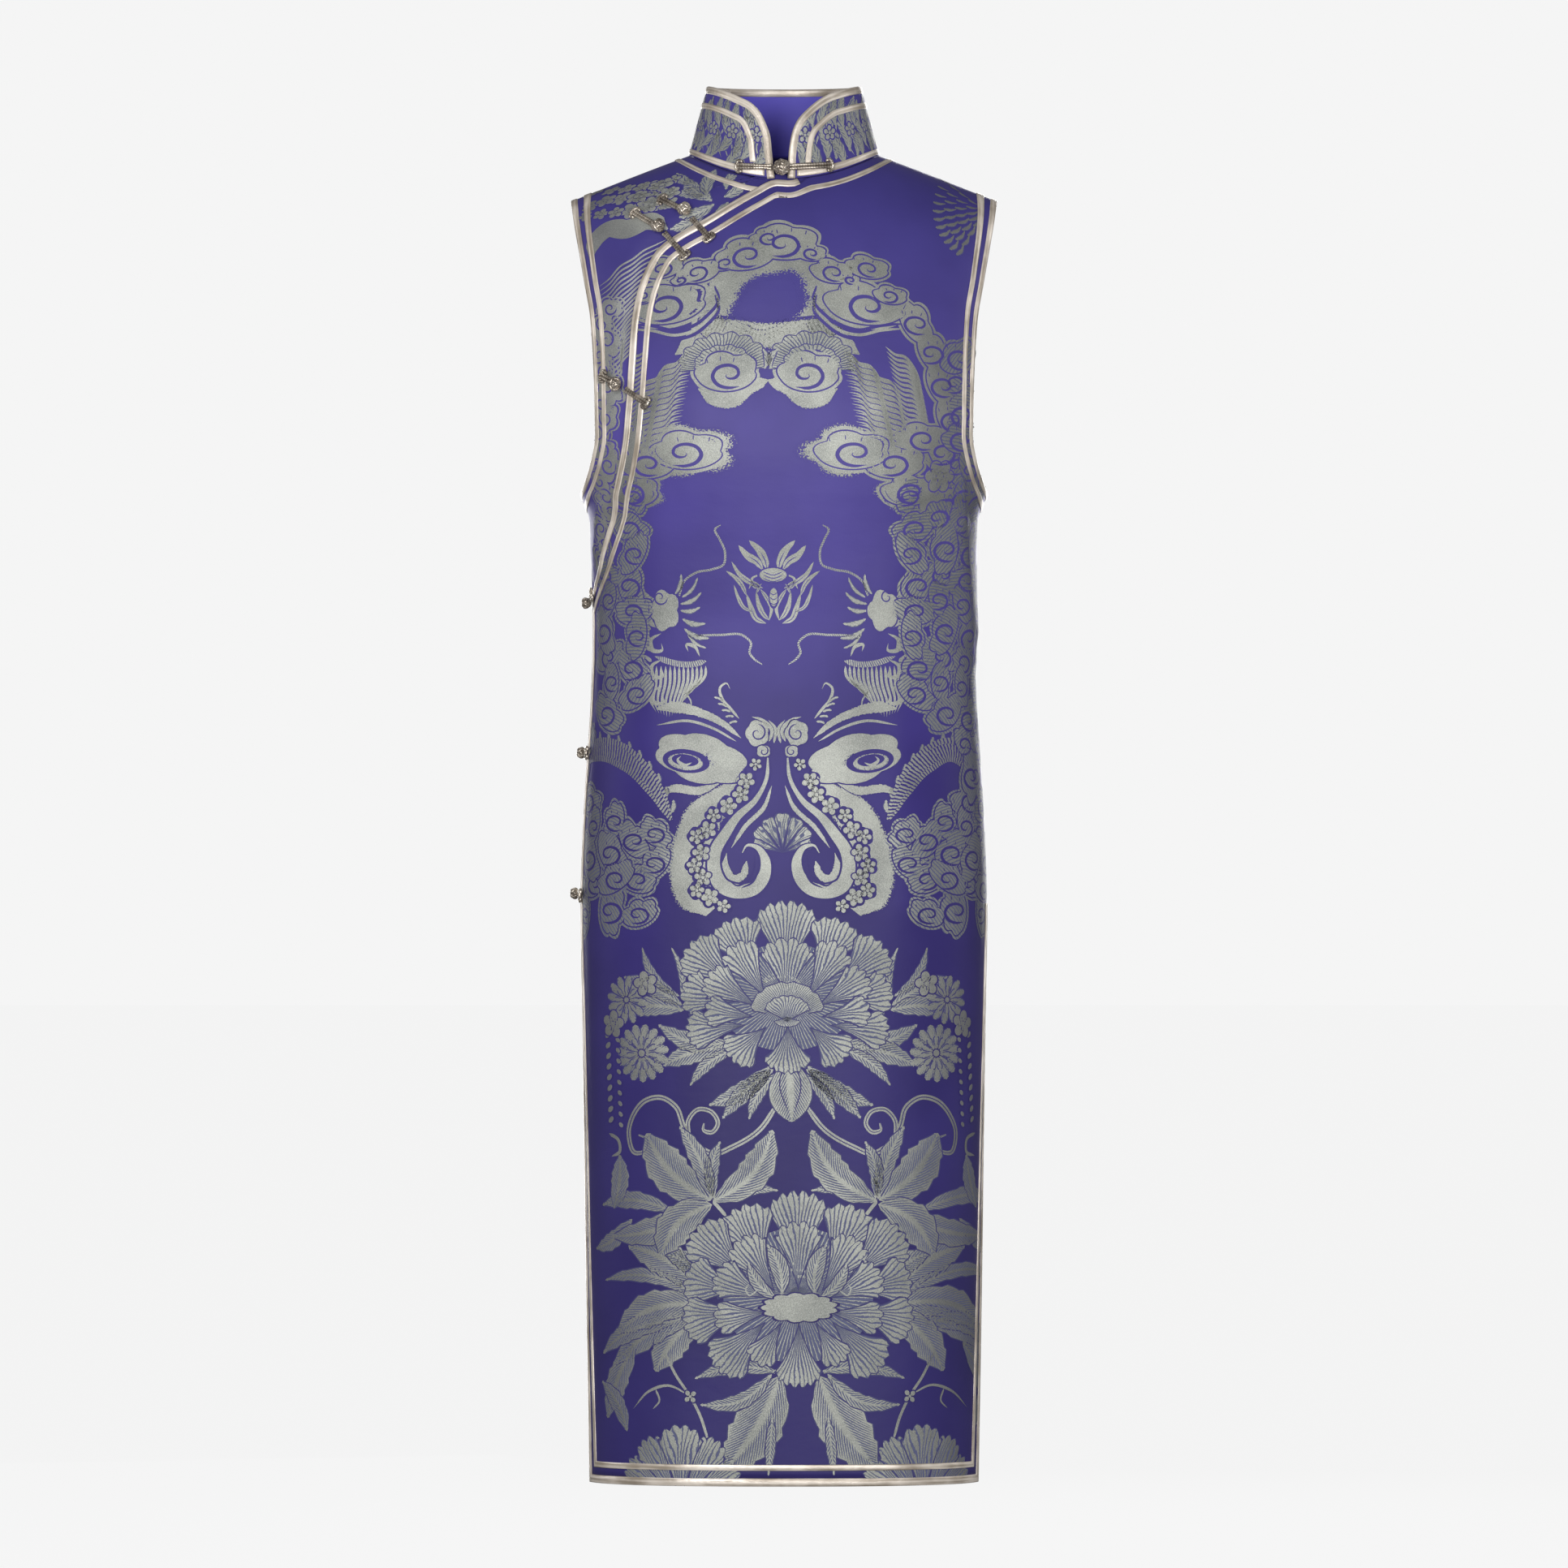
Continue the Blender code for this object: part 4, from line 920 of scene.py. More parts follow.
class Figures:
    # grids of flat points with their thread values: fill, rim in mm, half tone, stipple
    def __init__(self):
        self.parts = []

    def add(self, flat, fill=1.0, rim=9.0, half=0.0, stipple=1.0, phase=0.0, along=0.0, level=0, wrap=False):
        shape = flat.shape[:2]
        values = [np.broadcast_to(value, shape) for value in (fill, rim, half, stipple)]
        thread = np.stack(values, -1)
        uv = np.stack([np.broadcast_to(phase, shape), np.broadcast_to(along, shape)], -1)
        self.parts.append((flat, thread, uv, level, wrap))

    def ribbon(self, points, width, count=30, level=1, fill=1.0, columns=3, taper=(0.15, 0.15), stripe=0.0):
        # a stroke along a smooth curve in flat mm, thinned toward its ends
        line = smoothLine(points, count)
        beside = leftOf(unit(np.gradient(line, axis=0)))
        share = np.linspace(0, 1, count)
        wide = np.interp(share, np.linspace(0, 1, len(np.atleast_1d(width))), np.atleast_1d(width)) / 2
        wide = wide * np.clip(taper[0] + share / 0.12, 0, 1) * np.clip(taper[1] + (1 - share) / 0.2, 0, 1)
        across = np.linspace(-1, 1, columns)
        flat = line[:, None] + beside[:, None] * (wide[:, None] * across)[..., None]
        length = runLength(line)[:, None]
        self.add(flat, fill, phase=length * stripe + across * 0.35 * (stripe > 0), along=length, level=level)

    def stroke(self, line, mirror, width, count, level, **more):
        # a ribbon along a line in squares of the drawing
        self.ribbon(drafted(line, mirror), width, count, level, **more)

    def leaf(self, base, tip, width, bend=0.0, level=2, notch=0.17, teeth=5, fill=0.6, rows=26, columns=9,
             widest=0.45):
        # a pointed leaf: half width rises and falls along the spine, cut by forward teeth
        base, tip = np.asarray(base, float), np.asarray(tip, float)
        run = tip - base
        length = np.hypot(*run)
        turn = np.array([-run[1], run[0]]) / length
        share = np.linspace(0, 1, rows)
        spine = base + run * share[:, None] + turn * (bend * length * np.sin(math.pi * share))[:, None]
        along = unit(np.gradient(spine, axis=0))
        grow = share ** (math.log(0.5) / math.log(widest))
        wide = width / 2 * np.sin(math.pi * grow) ** 0.72
        tooth = 1 - notch * ((share * teeth + 0.2) % 1.0)
        wide = np.maximum(wide * tooth, 0.15)
        across = np.linspace(-1, 1, columns)
        lead = np.abs(across) * wide[:, None] * 0.35
        flat = spine[:, None] + leftOf(along)[:, None] * (wide[:, None] * across)[..., None]
        flat = flat + along[:, None] * lead[..., None]
        reach = share[:, None] * length
        rim = np.minimum((1 - np.abs(across)) * wide[:, None], 9)
        rib = np.clip(1 - np.abs(across) * wide[:, None] / 0.8, 0, 1)
        edge = np.clip(1.5 - (1 - np.abs(across)) * wide[:, None] / 1.1, 0, 1)
        full = fill * (0.62 + 0.38 * np.abs(across)) + (0.86 - fill) * np.abs(across) + rib + edge * 0.3
        phase = (reach - np.abs(across) * wide[:, None] * 1.5) / 4.0
        self.add(flat, full, np.maximum(rim, rib * 9), 1.0, 1.0, phase, reach, level)

    def petal(self, base, angle, length, spread, level=2, scallops=5, depth=0.06, inner=0.3, rows=12,
              columns=21,
              strokes=12, squash=1.0, start=0.0, belly=0.6, sway=0.45):
        # a fan from its base: degrees, mm; the rim is scalloped and the strokes run out to it
        share = np.linspace(start, 1, rows)[:, None]
        across = np.linspace(-1, 1, columns)[None]
        opened = np.radians(spread) * (belly + (1 - belly) * share)
        wave = np.abs(np.sin(across * scallops * math.pi / 2)) - 0.5
        rimLine = 1 - 0.16 * np.abs(across) ** 2.4 + depth * wave
        reach = length * share * (1 + (rimLine - 1) * share**2)
        theta = np.radians(angle) + across * opened
        flat = np.stack([base[0] + np.cos(theta) * reach, base[1] + np.sin(theta) * reach * squash], -1)
        rim = np.minimum((1 - share) * length, (1 - np.abs(across)) * opened * np.maximum(reach, 1))
        fill = np.interp(share, [0, 0.35, 0.7, 0.93], [inner, 0.38, 0.60, 0.82]) + 0 * across
        drift = sway * np.sin(share * 7 + angle + across * 5)
        self.add(flat, fill, rim, 1.0, 1.0, across * strokes * 0.36 + drift, share * length, level)

    def blob(self, centre, radii, lobes=0, depth=0.1, turn=0.0, level=1, rings=5, columns=36, fill=1.0,
             half=0.0,
             fade=None, hole=0.0, outline=True, upper=2.0):
        # a lobed disc; fade gives the stipple from its middle to its rim
        ring = np.linspace(hole, 1, rings)[:, None]
        theta = np.arange(columns)[None] * 2 * math.pi / columns
        crown = np.clip(np.sin(theta) + upper, 0, 1)
        edge = np.ones_like(theta)
        if lobes:
            edge = 1 + depth * crown * (np.abs(np.sin(theta * lobes / 2)) * 2 - 1.2)
        x, y = ring * edge * radii[0] * np.cos(theta), ring * edge * radii[1] * np.sin(theta)
        c, s = math.cos(math.radians(turn)), math.sin(math.radians(turn))
        flat = np.stack([centre[0] + x * c - y * s, centre[1] + x * s + y * c], -1)
        rim = (1 - ring) * min(radii) * np.ones_like(theta) if outline else 9.0
        stipple = 1.0 if fade is None else np.interp(ring, np.linspace(hole, 1, len(fade)),
                                                     fade) * np.ones_like(theta)
        self.add(flat, fill, rim, half, stipple, 0.6 * ring, ring * min(radii), level, wrap=True)

    def spiral(self, centre, radius, turns=1.4, start=0.0, hand=1, width=1.3, level=4, count=34, tight=0.12,
               squash=1.0):
        # a scroll line that winds in, in the ground's colour
        share = np.linspace(0, 1, 14)
        theta = math.radians(start) + hand * share * turns * 2 * math.pi
        out = radius * (1 - (1 - tight) * share)
        line = np.stack([centre[0] + out * np.cos(theta), centre[1] + squash * out * np.sin(theta)], 1)
        self.ribbon(line, [width * 0.7, width * 1.35, width, width * 1.2], count, level, fill=0.0)

    def blossom(self, centre, radius, level=4, petals=5, turn=0.0):
        for k in range(petals):
            theta = math.radians(turn) + k * 2 * math.pi / petals
            spot = [centre[0] + 0.56 * radius * math.cos(theta), centre[1] + 0.56 * radius * math.sin(theta)]
            self.blob(spot, (0.54 * radius, 0.46 * radius), turn=math.degrees(theta), level=level, rings=4,
                      columns=12)
        self.blob(centre, (0.2 * radius, 0.2 * radius), level=level + 1, rings=2, columns=8, outline=False)

    def daisy(self, centre, radius, petals=14, level=3, turn=0.0):
        for ring, count, reach in ((0, petals, 1.0), (1, max(7, petals - 4), 0.62)):
            for k in range(count):
                theta = math.radians(turn) + (k + 0.5 * ring) * 2 * math.pi / count
                tip = [centre[0] + radius * reach * math.cos(theta),
                       centre[1] + radius * reach * math.sin(theta)]
                near = [centre[0] + radius * 0.14 * math.cos(theta),
                        centre[1] + radius * 0.14 * math.sin(theta)]
                self.leaf(near, tip, radius * reach * 0.40, 0.03, level + ring, notch=0, fill=0.9, rows=8,
                          columns=5,
                          widest=0.62)
        self.blob(centre, (0.16 * radius, 0.16 * radius), level=level + 2, rings=3, columns=10)


def weave(name, figures, surface, outward, limit, look, inside, placeOf):
    # lays the flat grids on the cloth; limit keeps them short of the side, and inside drops what
    # lies past an edge
    flats, threads, uvs, faces, levels, count = [], [], [], [], [], 0
    for flat, thread, uv, level, wrap in figures.parts:
        rows, columns = flat.shape[:2]
        quads = gridFaces(rows, columns, wrap)
        flats.append(flat.reshape(-1, 2))
        threads.append(thread.reshape(-1, 4))
        uvs.append(uv.reshape(-1, 2))
        levels.append(np.full(rows * columns, level, float))
        faces.append(quads + count)
        count += rows * columns
    flat, thread, uv = np.vstack(flats), np.vstack(threads), np.vstack(uvs)
    faces, level = np.vstack(faces), np.concatenate(levels)
    reach = limit(flat[:, 1])
    over = np.abs(flat[:, 0]) > reach
    flat[:, 0] = np.clip(flat[:, 0], -reach, reach)
    faces = faces[~over[faces].all(1)]
    place = placeOf(flat)
    faces = faces[inside(place[faces].mean(1))]
    a, b, c = place[faces[:, 0]], place[faces[:, 1]], place[faces[:, 2]]
    d = place[faces[:, 3]]
    area = np.cross(c - a, d - b)
    faces = faces[np.abs(area) > 1e-4]
    turned = np.where((area[np.abs(area) > 1e-4] * outward > 0)[:, None], faces, faces[:, ::-1])
    used, back = np.unique(turned, return_inverse=True)
    faces = back.reshape(turned.shape)
    place, thread, uv, level = place[used], thread[used], uv[used], level[used]
    lift = draft["lift"] + draft["level"] * level
    points = surface(place) + normals(surface, place, outward) * lift[:, None]
    piece = makeMesh(name, points, faces, look, uv=uv / mm)
    colour = piece.data.attributes.new("thread", "FLOAT_COLOR", "POINT")
    colour.data.foreach_set("color", (thread * [1, 0.1, 1, 1]).ravel())


def mirrorAngle(angle, mirror):
    return angle if mirror > 0 else 180 - angle


def addLeaves(figures, rows, fill=0.55):
    # base across down, tip across down, width mm, bend, level; both sides of the axis
    for bx, by, tx, ty, width, bend, level in rows:
        for mirror in (1, -1):
            figures.leaf(drafted([bx, by], mirror), drafted([tx, ty], mirror), width, bend * mirror, level,
                         fill=fill)


def petalGround(figures, centre, radii, strokes):
    # the half-tone middle that the petals' bases run into
    figures.blob(drafted(centre), radii, level=1, rings=9, columns=110, fill=0.30, half=1.0, outline=False)
    flat, thread, uv, level, wrap = figures.parts[-1]
    theta = np.arctan2(flat[..., 1] - drafted(centre)[1], flat[..., 0] - drafted(centre)[0])
    # one seam below the flower's foot, hidden by its lowest petal
    uv = np.stack([strokes * ((theta + 2.5 * math.pi) % (2 * math.pi)) / (2 * math.pi), uv[..., 1]], -1)
    figures.parts[-1] = (flat, thread, uv, level, wrap)


def addPetals(figures, rows):
    # base across and down, angle, length, spread, level, scallops, strokes; both sides unless upright
    for across, down, angle, length, spread, level, scallops, strokes in rows:
        for mirror in (1, -1):
            if mirror < 0 and abs(angle) == 90:
                continue
            figures.petal(drafted((across, down), mirror), mirrorAngle(angle, mirror), length, spread, level,
                          scallops,
                          inner=0.16, strokes=strokes, depth=0.085, sway=0.28)


def firstPeony(figures):
    # each petal fans out from a base of its own: across, down, then angle, length, spread, level,
    # scallops, strokes
    petalGround(figures, (0, 1028), (58, 46), 90)
    addPetals(figures, [
        (0, 1012, 90, 70, 27, 2, 7, 20), (40, 1002, 68, 51, 33, 3, 6, 17), (60, 1014, 39, 53, 31, 4, 6, 16),
        (62, 1034, 12, 47, 30, 5, 5, 14), (50, 1062, -6, 51, 24, 6, 6, 12),
        (0, 1034, 90, 54, 30, 5, 5, 16), (24, 1032, 60, 55, 22, 6, 4, 12), (36, 1040, 32, 50, 24, 7, 5, 12),
        (40, 1052, 8, 42, 24, 8, 4, 10), (26, 1064, -42, 41, 32, 8, 6, 13), (0, 1062, -90, 41, 36, 9, 8, 17)])
    heart = drafted((0, 1046))
    figures.petal(heart + [0, -6], 90, 37, 76, 10, 12, inner=0.35, strokes=64, start=0.55, belly=0.95,
                  squash=0.86)
    figures.petal(heart + [0, -9], 90, 27, 58, 11, 7, inner=0.3, strokes=24, belly=0.9, squash=0.86)
    figures.petal(heart + [0, -4], -90, 15, 62, 11, 6, inner=0.5, strokes=22, belly=0.9, squash=0.6)
    addStamens(figures, drafted((0, 1012)), 20, 34)
    addLeaves(figures, [
        (128, 1032, 138, 968, 8, 0.10, 1), (131, 1027, 174, 968, 11, -0.14, 1),
        (128, 1038, 198, 1004, 17, 0.05, 1),
        (126, 1044, 196, 1046, 20, 0.08, 1),
        (70, 1083, 158, 1062, 19, -0.12, 1), (70, 1087, 154, 1112, 22, 0.06, 1),
        (66, 1092, 122, 1136, 13, 0.10, 1),
        (22, 1112, 100, 1160, 19, -0.08, 2), (20, 1116, 84, 1176, 17, 0.05, 2),
        (14, 1120, 52, 1177, 13, 0.10, 2),
    ])
    figures.leaf(drafted((0, 1104)), drafted((0, 1180)), 38, 0.0, 4, notch=0, fill=0.7, widest=0.42)
    for tone in (-0.5, 0.5):
        figures.ribbon(drafted([(14 * tone, 1108), (26 * tone, 1135), (8 * tone, 1168)]), 0.9, 16, 5,
                       fill=0.0)


def addStamens(figures, centre, reach, count):
    # short strokes scattered over a fan above the heart
    for k in range(count):
        theta = math.radians(90 + 62 * math.sin(k * 2.4))
        near = reach * (0.25 + 0.6 * ((k * 0.618) % 1.0))
        start = [centre[0] + near * math.cos(theta) * 1.35, centre[1] + near * math.sin(theta) * 0.8 - 4]
        end = [start[0] + 2.6 * math.cos(theta), start[1] + 2.6 * math.sin(theta)]
        figures.ribbon(np.array([start, np.mean([start, end], 0), end]), 0.9, 6, 9)


def secondPeony(figures):
    petalGround(figures, (0, 1392), (64, 58), 96)
    addPetals(figures, [
        (0, 1372, 90, 74, 25, 2, 7, 19), (38, 1364, 67, 60, 30, 3, 6, 17), (62, 1370, 42, 60, 29, 4, 6, 16),
        (72, 1388, 14, 48, 33, 5, 6, 15), (62, 1410, -12, 56, 27, 6, 6, 15),
        (40, 1424, -44, 58, 27, 7, 6, 15),
        (0, 1386, 90, 58, 25, 5, 5, 14), (28, 1388, 56, 54, 25, 6, 5, 13), (36, 1396, 24, 50, 25, 7, 5, 12),
        (34, 1412, -8, 48, 22, 8, 4, 11), (20, 1424, -58, 42, 24, 9, 4, 11),
        (0, 1426, -90, 54, 27, 10, 7, 16)])
    for mirror in (1, -1):
        figures.leaf(drafted((20, 1392), mirror), drafted((36, 1330), mirror), 17, 0.10 * mirror, 10,
                     notch=0.05, fill=0.6)
        figures.leaf(drafted((26, 1396), mirror), drafted((60, 1352), mirror), 13, -0.12 * mirror, 9,
                     notch=0.1, fill=0.6)
        figures.stroke([(50, 1386), (60, 1392), (64, 1384), (60, 1378)], mirror, 1.4, 16, 10)
    addStamens(figures, drafted((0, 1372)), 24, 44)
    figures.blob(drafted((1, 1407)), (34, 13), lobes=13, depth=0.07, level=11, columns=52)
    addLeaves(figures, [
        (116, 1388, 206, 1333, 34, 0.10, 1), (112, 1384, 162, 1342, 21, 0.16, 1),
        (120, 1394, 236, 1376, 15, 0.12, 1),
        (116, 1404, 222, 1440, 33, 0.12, 1), (118, 1410, 228, 1480, 26, 0.06, 1),
        (114, 1412, 176, 1486, 34, 0.08, 1), (200, 1452, 236, 1545, 27, 0.05, 1),
        (150, 1425, 240, 1466, 21, 0.1, 1), (212, 1560, 242, 1500, 18, 0.1, 1),
        (24, 1490, 92, 1604, 48, -0.06, 1), (34, 1488, 122, 1526, 16, -0.16, 2),
        (26, 1486, 128, 1494, 15, 0.10, 2),
        (34, 1540, 40, 1612, 11, 0.0, 2),
    ])


def stemsAndLeaves(figures):
    for mirror in (1, -1):
        stem = [(17, 1159), (40, 1190), (74, 1211), (95, 1219), (117, 1208), (132, 1186), (140, 1163),
                (158, 1151),
                (178, 1155), (193, 1172), (200, 1196), (193, 1219), (180, 1216), (178, 1202), (188, 1197)]
        hook = [(126, 1198), (126, 1179), (113, 1165), (96, 1169), (90, 1183), (98, 1193), (108, 1190),
                (107, 1182)]
        figures.stroke(stem, mirror, 4.4, 90, 1, columns=5, taper=(0.6, 0.3))
        figures.stroke(stem, mirror, 0.8, 90, 2, fill=0.0)
        figures.stroke(hook, mirror, 3.8, 50, 1, columns=5, taper=(0.6, 0.3))
        figures.stroke(hook, mirror, 0.7, 50, 2, fill=0.0)
        figures.stroke([(100, 1277), (92, 1286), (84, 1296)], mirror, 3.0, 12, 1)
        twig = [(164, 1464), (150, 1492), (134, 1516), (122, 1540), (114, 1566)]
        figures.stroke(twig, mirror, 2.4, 30, 1, taper=(0.7, 0.7))
        figures.stroke([(136, 1514), (160, 1503), (184, 1510), (204, 1532)], mirror, [1.2, 2.6, 1.0], 26, 1)
        figures.stroke([(176, 1508), (172, 1522), (180, 1532)], mirror, [2.0, 1.2], 14, 1)
        figures.blossom(drafted((134, 1516), mirror), 6.5, 3, 4, 40)
        # the corner flower: a fan cut off by the hem
        spot = drafted((148, 1652), mirror)
        for angle, length, spread, level in ((90, 70, 20, 3), (62, 66, 16, 2), (118, 66, 16, 2),
                                             (38, 62, 15, 1),
                                             (142, 62, 15, 1)):
            figures.petal(spot, mirrorAngle(angle, mirror), length, spread, level, 5, inner=0.3, strokes=12)
        figures.daisy(drafted((180, 1097), mirror), 25, 15, 2, 8)
        figures.daisy(drafted((196, 1032), mirror), 21, 12, 2, 20)
        figures.blossom(drafted((214, 1062), mirror), 12, 3, 5, 10)
        figures.blossom(drafted((172, 1012), mirror), 11, 3, 5, 30)
        for k in range(9):
            figures.blob(drafted((221, 1075 + 13 * k), mirror), (5, 3.2), turn=40, level=2, rings=3,
                         columns=12)
            figures.blob(drafted((209, 1081 + 13 * k), mirror), (4, 2.8), turn=-40, level=2, rings=3,
                         columns=12)
        figures.stroke([(224, 1196), (213, 1204), (212, 1218), (222, 1224)], mirror, 3.0, 20, 1)
    addLeaves(figures, [
        (100, 1277, 24, 1190, 32, 0.14, 2), (96, 1277, 20, 1264, 13, -0.10, 1),
        (98, 1274, 88, 1204, 15, -0.10, 3),
        (101, 1275, 137, 1186, 19, 0.06, 3), (102, 1276, 178, 1195, 40, -0.10, 2),
        (104, 1279, 226, 1322, 27, -0.08, 2), (101, 1281, 167, 1345, 36, 0.14, 3),
        (150, 1290, 236, 1284, 18, 0.1, 1),
        (222, 1288, 212, 1222, 22, 0.06, 1), (200, 1300, 246, 1338, 18, -0.1, 1),
    ])


def cloud(figures, across, down, size, hand=1, mirror=1, halo=0.0, level=3, turn=0.0, lobes=5, stretch=1.38):
    # one scroll cloud: stipple, a contour line, the lobed body and the groove that winds in from its foot
    centre = drafted((across, down), mirror)
    hand, turn = hand * mirror, turn * mirror
    wide, high = size * stretch, size * 0.74
    if halo:
        figures.blob(centre, (wide * (1 + halo), high * (1 + halo)), lobes, 0.12, turn, 0, 7, 48,
                     fade=(1, 1, 0.8, 0.15), outline=False)
    rim = 1.2 + size * 0.08
    figures.blob(centre, (wide + rim, high + rim), lobes, 0.13, turn, level - 2, 2, 48, outline=False,
                 upper=0.5,
                 hole=0.7)
    wide, high = wide - 0.3 * rim, high - 0.3 * rim
    figures.blob(centre, (wide + 1.2, high + 1.2), lobes, 0.13, turn, level - 1, 2, 48, fill=0.0,
                 outline=False,
                 upper=0.5, hole=0.8)
    figures.blob(centre, (wide, high), lobes, 0.13, turn, level, 5, 48, outline=False, upper=0.5)
    figures.spiral(centre + [0.10 * size * hand, -0.08 * size], size * 0.84, 1.35, -60 if hand > 0 else 240,
                   -hand,
                   max(1.5, size * 0.115), level + 1, squash=0.64, count=36)
    # three short strokes on the upper lobes
    for k in (-1, 0, 1):
        near = centre + [wide * (0.42 * k - 0.2 * hand), high * (0.60 - 0.1 * k * k)]
        figures.ribbon(np.array([near, near + [0.5 * k, high * 0.14], near + [k, high * 0.26]]), 0.8, 6,
                       level + 1,
                       fill=0.0)


def cloudFigures(figures):
    # the cloud arch over the chest
    for across, down, size, hand in ((-23, 121, 17, 1), (25, 106, 19, -1)):
        cloud(figures, across, down, size, hand)
    for across, down, size in ((-50, 131, 9), (56, 119, 9), (4, 100, 10)):
        cloud(figures, across, down, size, 1, level=2)
    arch = drafted((4, 179))
    figures.blob(arch, (62, 40), 5, 0.06, 18, 0, 9, 60, hole=0.38,
                 fade=(0.0, 0.35, 0.7, 0.95, 1.0, 0.95, 0.5),
                 outline=False)
    figures.ribbon(drafted([(-84, 212), (-36, 217), (4, 221), (44, 217), (92, 212)]), 22, 60, 0, columns=11)
    stippleEdge(figures, 1.25)
    for mirror in (1, -1):
        # the arch's two legs, thinned toward the foot
        figures.stroke([(62, 190), (72, 214), (96, 232), (112, 244)], mirror, [26, 22, 16, 8], 26, 0,
                       columns=9)
        stippleEdge(figures, 1.0)
    for mirror in (1, -1):
        for across, down, size, hand in ((82, 142, 12.5, 1), (125, 137, 12.5, 1), (103, 152, 6, 1)):
            cloud(figures, across, down, size, hand, mirror)
        cloud(figures, 122, 182, 22, 1, mirror, level=4, stretch=1.5)
        cloud(figures, 152, 171, 10, -1, mirror, level=7)
        # the long contour under the big cloud
        contour = [(62, 160), (58, 178), (72, 196), (88, 208), (112, 214), (140, 208), (164, 206)]
        for shift, inked in ((0, 0.0), (6, 1.0), (11, 0.0)):
            figures.stroke(np.array(contour) + [0, shift], mirror, 2.2 if inked else 2.6, 50, 2, fill=inked,
                           taper=(0.4, 0.4))
        # the chain that runs out to the armhole
        for across, down, size, hand in ((182, 204, 16, 1), (202, 240, 16, -1), (212, 280, 17, 1),
                                         (222, 322, 17, 1),
                                         (212, 362, 19, -1)):
            cloud(figures, across, down, size, hand, mirror, turn=-55, stretch=1.15)
        # the scalloped arch and the two clouds under it
        spot = drafted((54, 262), mirror)
        figures.petal(spot, 90, 40, 92, 2, 9, 0.10, 0.45, 9, 70, 52, squash=0.66, start=0.6, belly=1.0,
                      sway=0.3)
        figures.petal(spot, 90, 27, 86, 3, 7, 0.08, 0.9, 6, 50, 30, squash=0.66, start=0.78, belly=1.0,
                      sway=0.3)
        cloud(figures, 50, 266, 20, -1, mirror, level=4, stretch=1.25)
        fringe = [(0, 276), (22, 284), (44, 300), (66, 298), (84, 286)]
        figures.stroke(fringe, mirror, [10, 13, 15, 14, 8], 36, 0, columns=9)
        stippleEdge(figures, 1.15)
        figures.leaf(drafted((4 * mirror, 262)), drafted((4 + 9 * mirror, 238)), 7, 0.2 * mirror, 3, notch=0,
                     fill=1.0)
        # wavy fleece below the shoulder
        for k in range(27):
            x0, y0 = 88 + 2.4 * (k % 2) + 0.7 * k, 240 + 3.6 * k
            wave = [(x0, y0), (x0 + 12, y0 + 3), (x0 + 22, y0 + 14), (x0 + 36, y0 + 18), (x0 + 46, y0 + 32),
                    (x0 + 60, y0 + 37), (x0 + 70, y0 + 54)]
            figures.stroke(wave, mirror, [0.9, 1.9, 1.8, 0.8], 30, 2)
        for k in range(22):
            x0, y0 = 144 + 1.0 * k, 234 + 6.1 * k
            wave = [(x0, y0), (x0 + 12, y0 + 10), (x0 + 22, y0 + 12), (x0 + 34, y0 + 26), (x0 + 42, y0 + 44)]
            figures.stroke(wave, mirror, [1.0, 2.4, 2.2, 0.9], 24, 1)
        # lower chest clouds, stippled toward the middle
        cloud(figures, 100, 362, 22, 1, mirror, halo=0.45, level=4)
        cloud(figures, 150, 376, 19, -1, mirror, level=3)
        cloud(figures, 184, 346, 17, 1, mirror, level=3)
        figures.blossom(drafted((206, 392), mirror), 14, 4, 6)
        for across, down, size, hand in ((168, 410, 18, 1), (214, 428, 20, -1)):
            cloud(figures, across, down, size, hand, mirror, halo=0.3)
        sideClouds(figures, mirror)


def quieten(figures, first, fill):
    # the silver of the figures from the first one on thins to strokes over the half tone
    for k in range(first, len(figures.parts)):
        flat, thread, uv, level, wrap = figures.parts[k]
        thread = thread.copy()
        full = thread[..., 0] > 0.95
        thread[..., 0] = np.where(full, fill, thread[..., 0])
        thread[..., 2] = np.where(full, 1.0, thread[..., 2])
        lean = 0.9 * math.sin(2.4 * (k // 9))
        uv = uv + np.stack([0.36 * (flat[..., 1] * math.cos(lean) + flat[..., 0] * math.sin(lean)),
                            0 * flat[..., 1]], -1)
        figures.parts[k] = (flat, thread, uv, level, wrap)


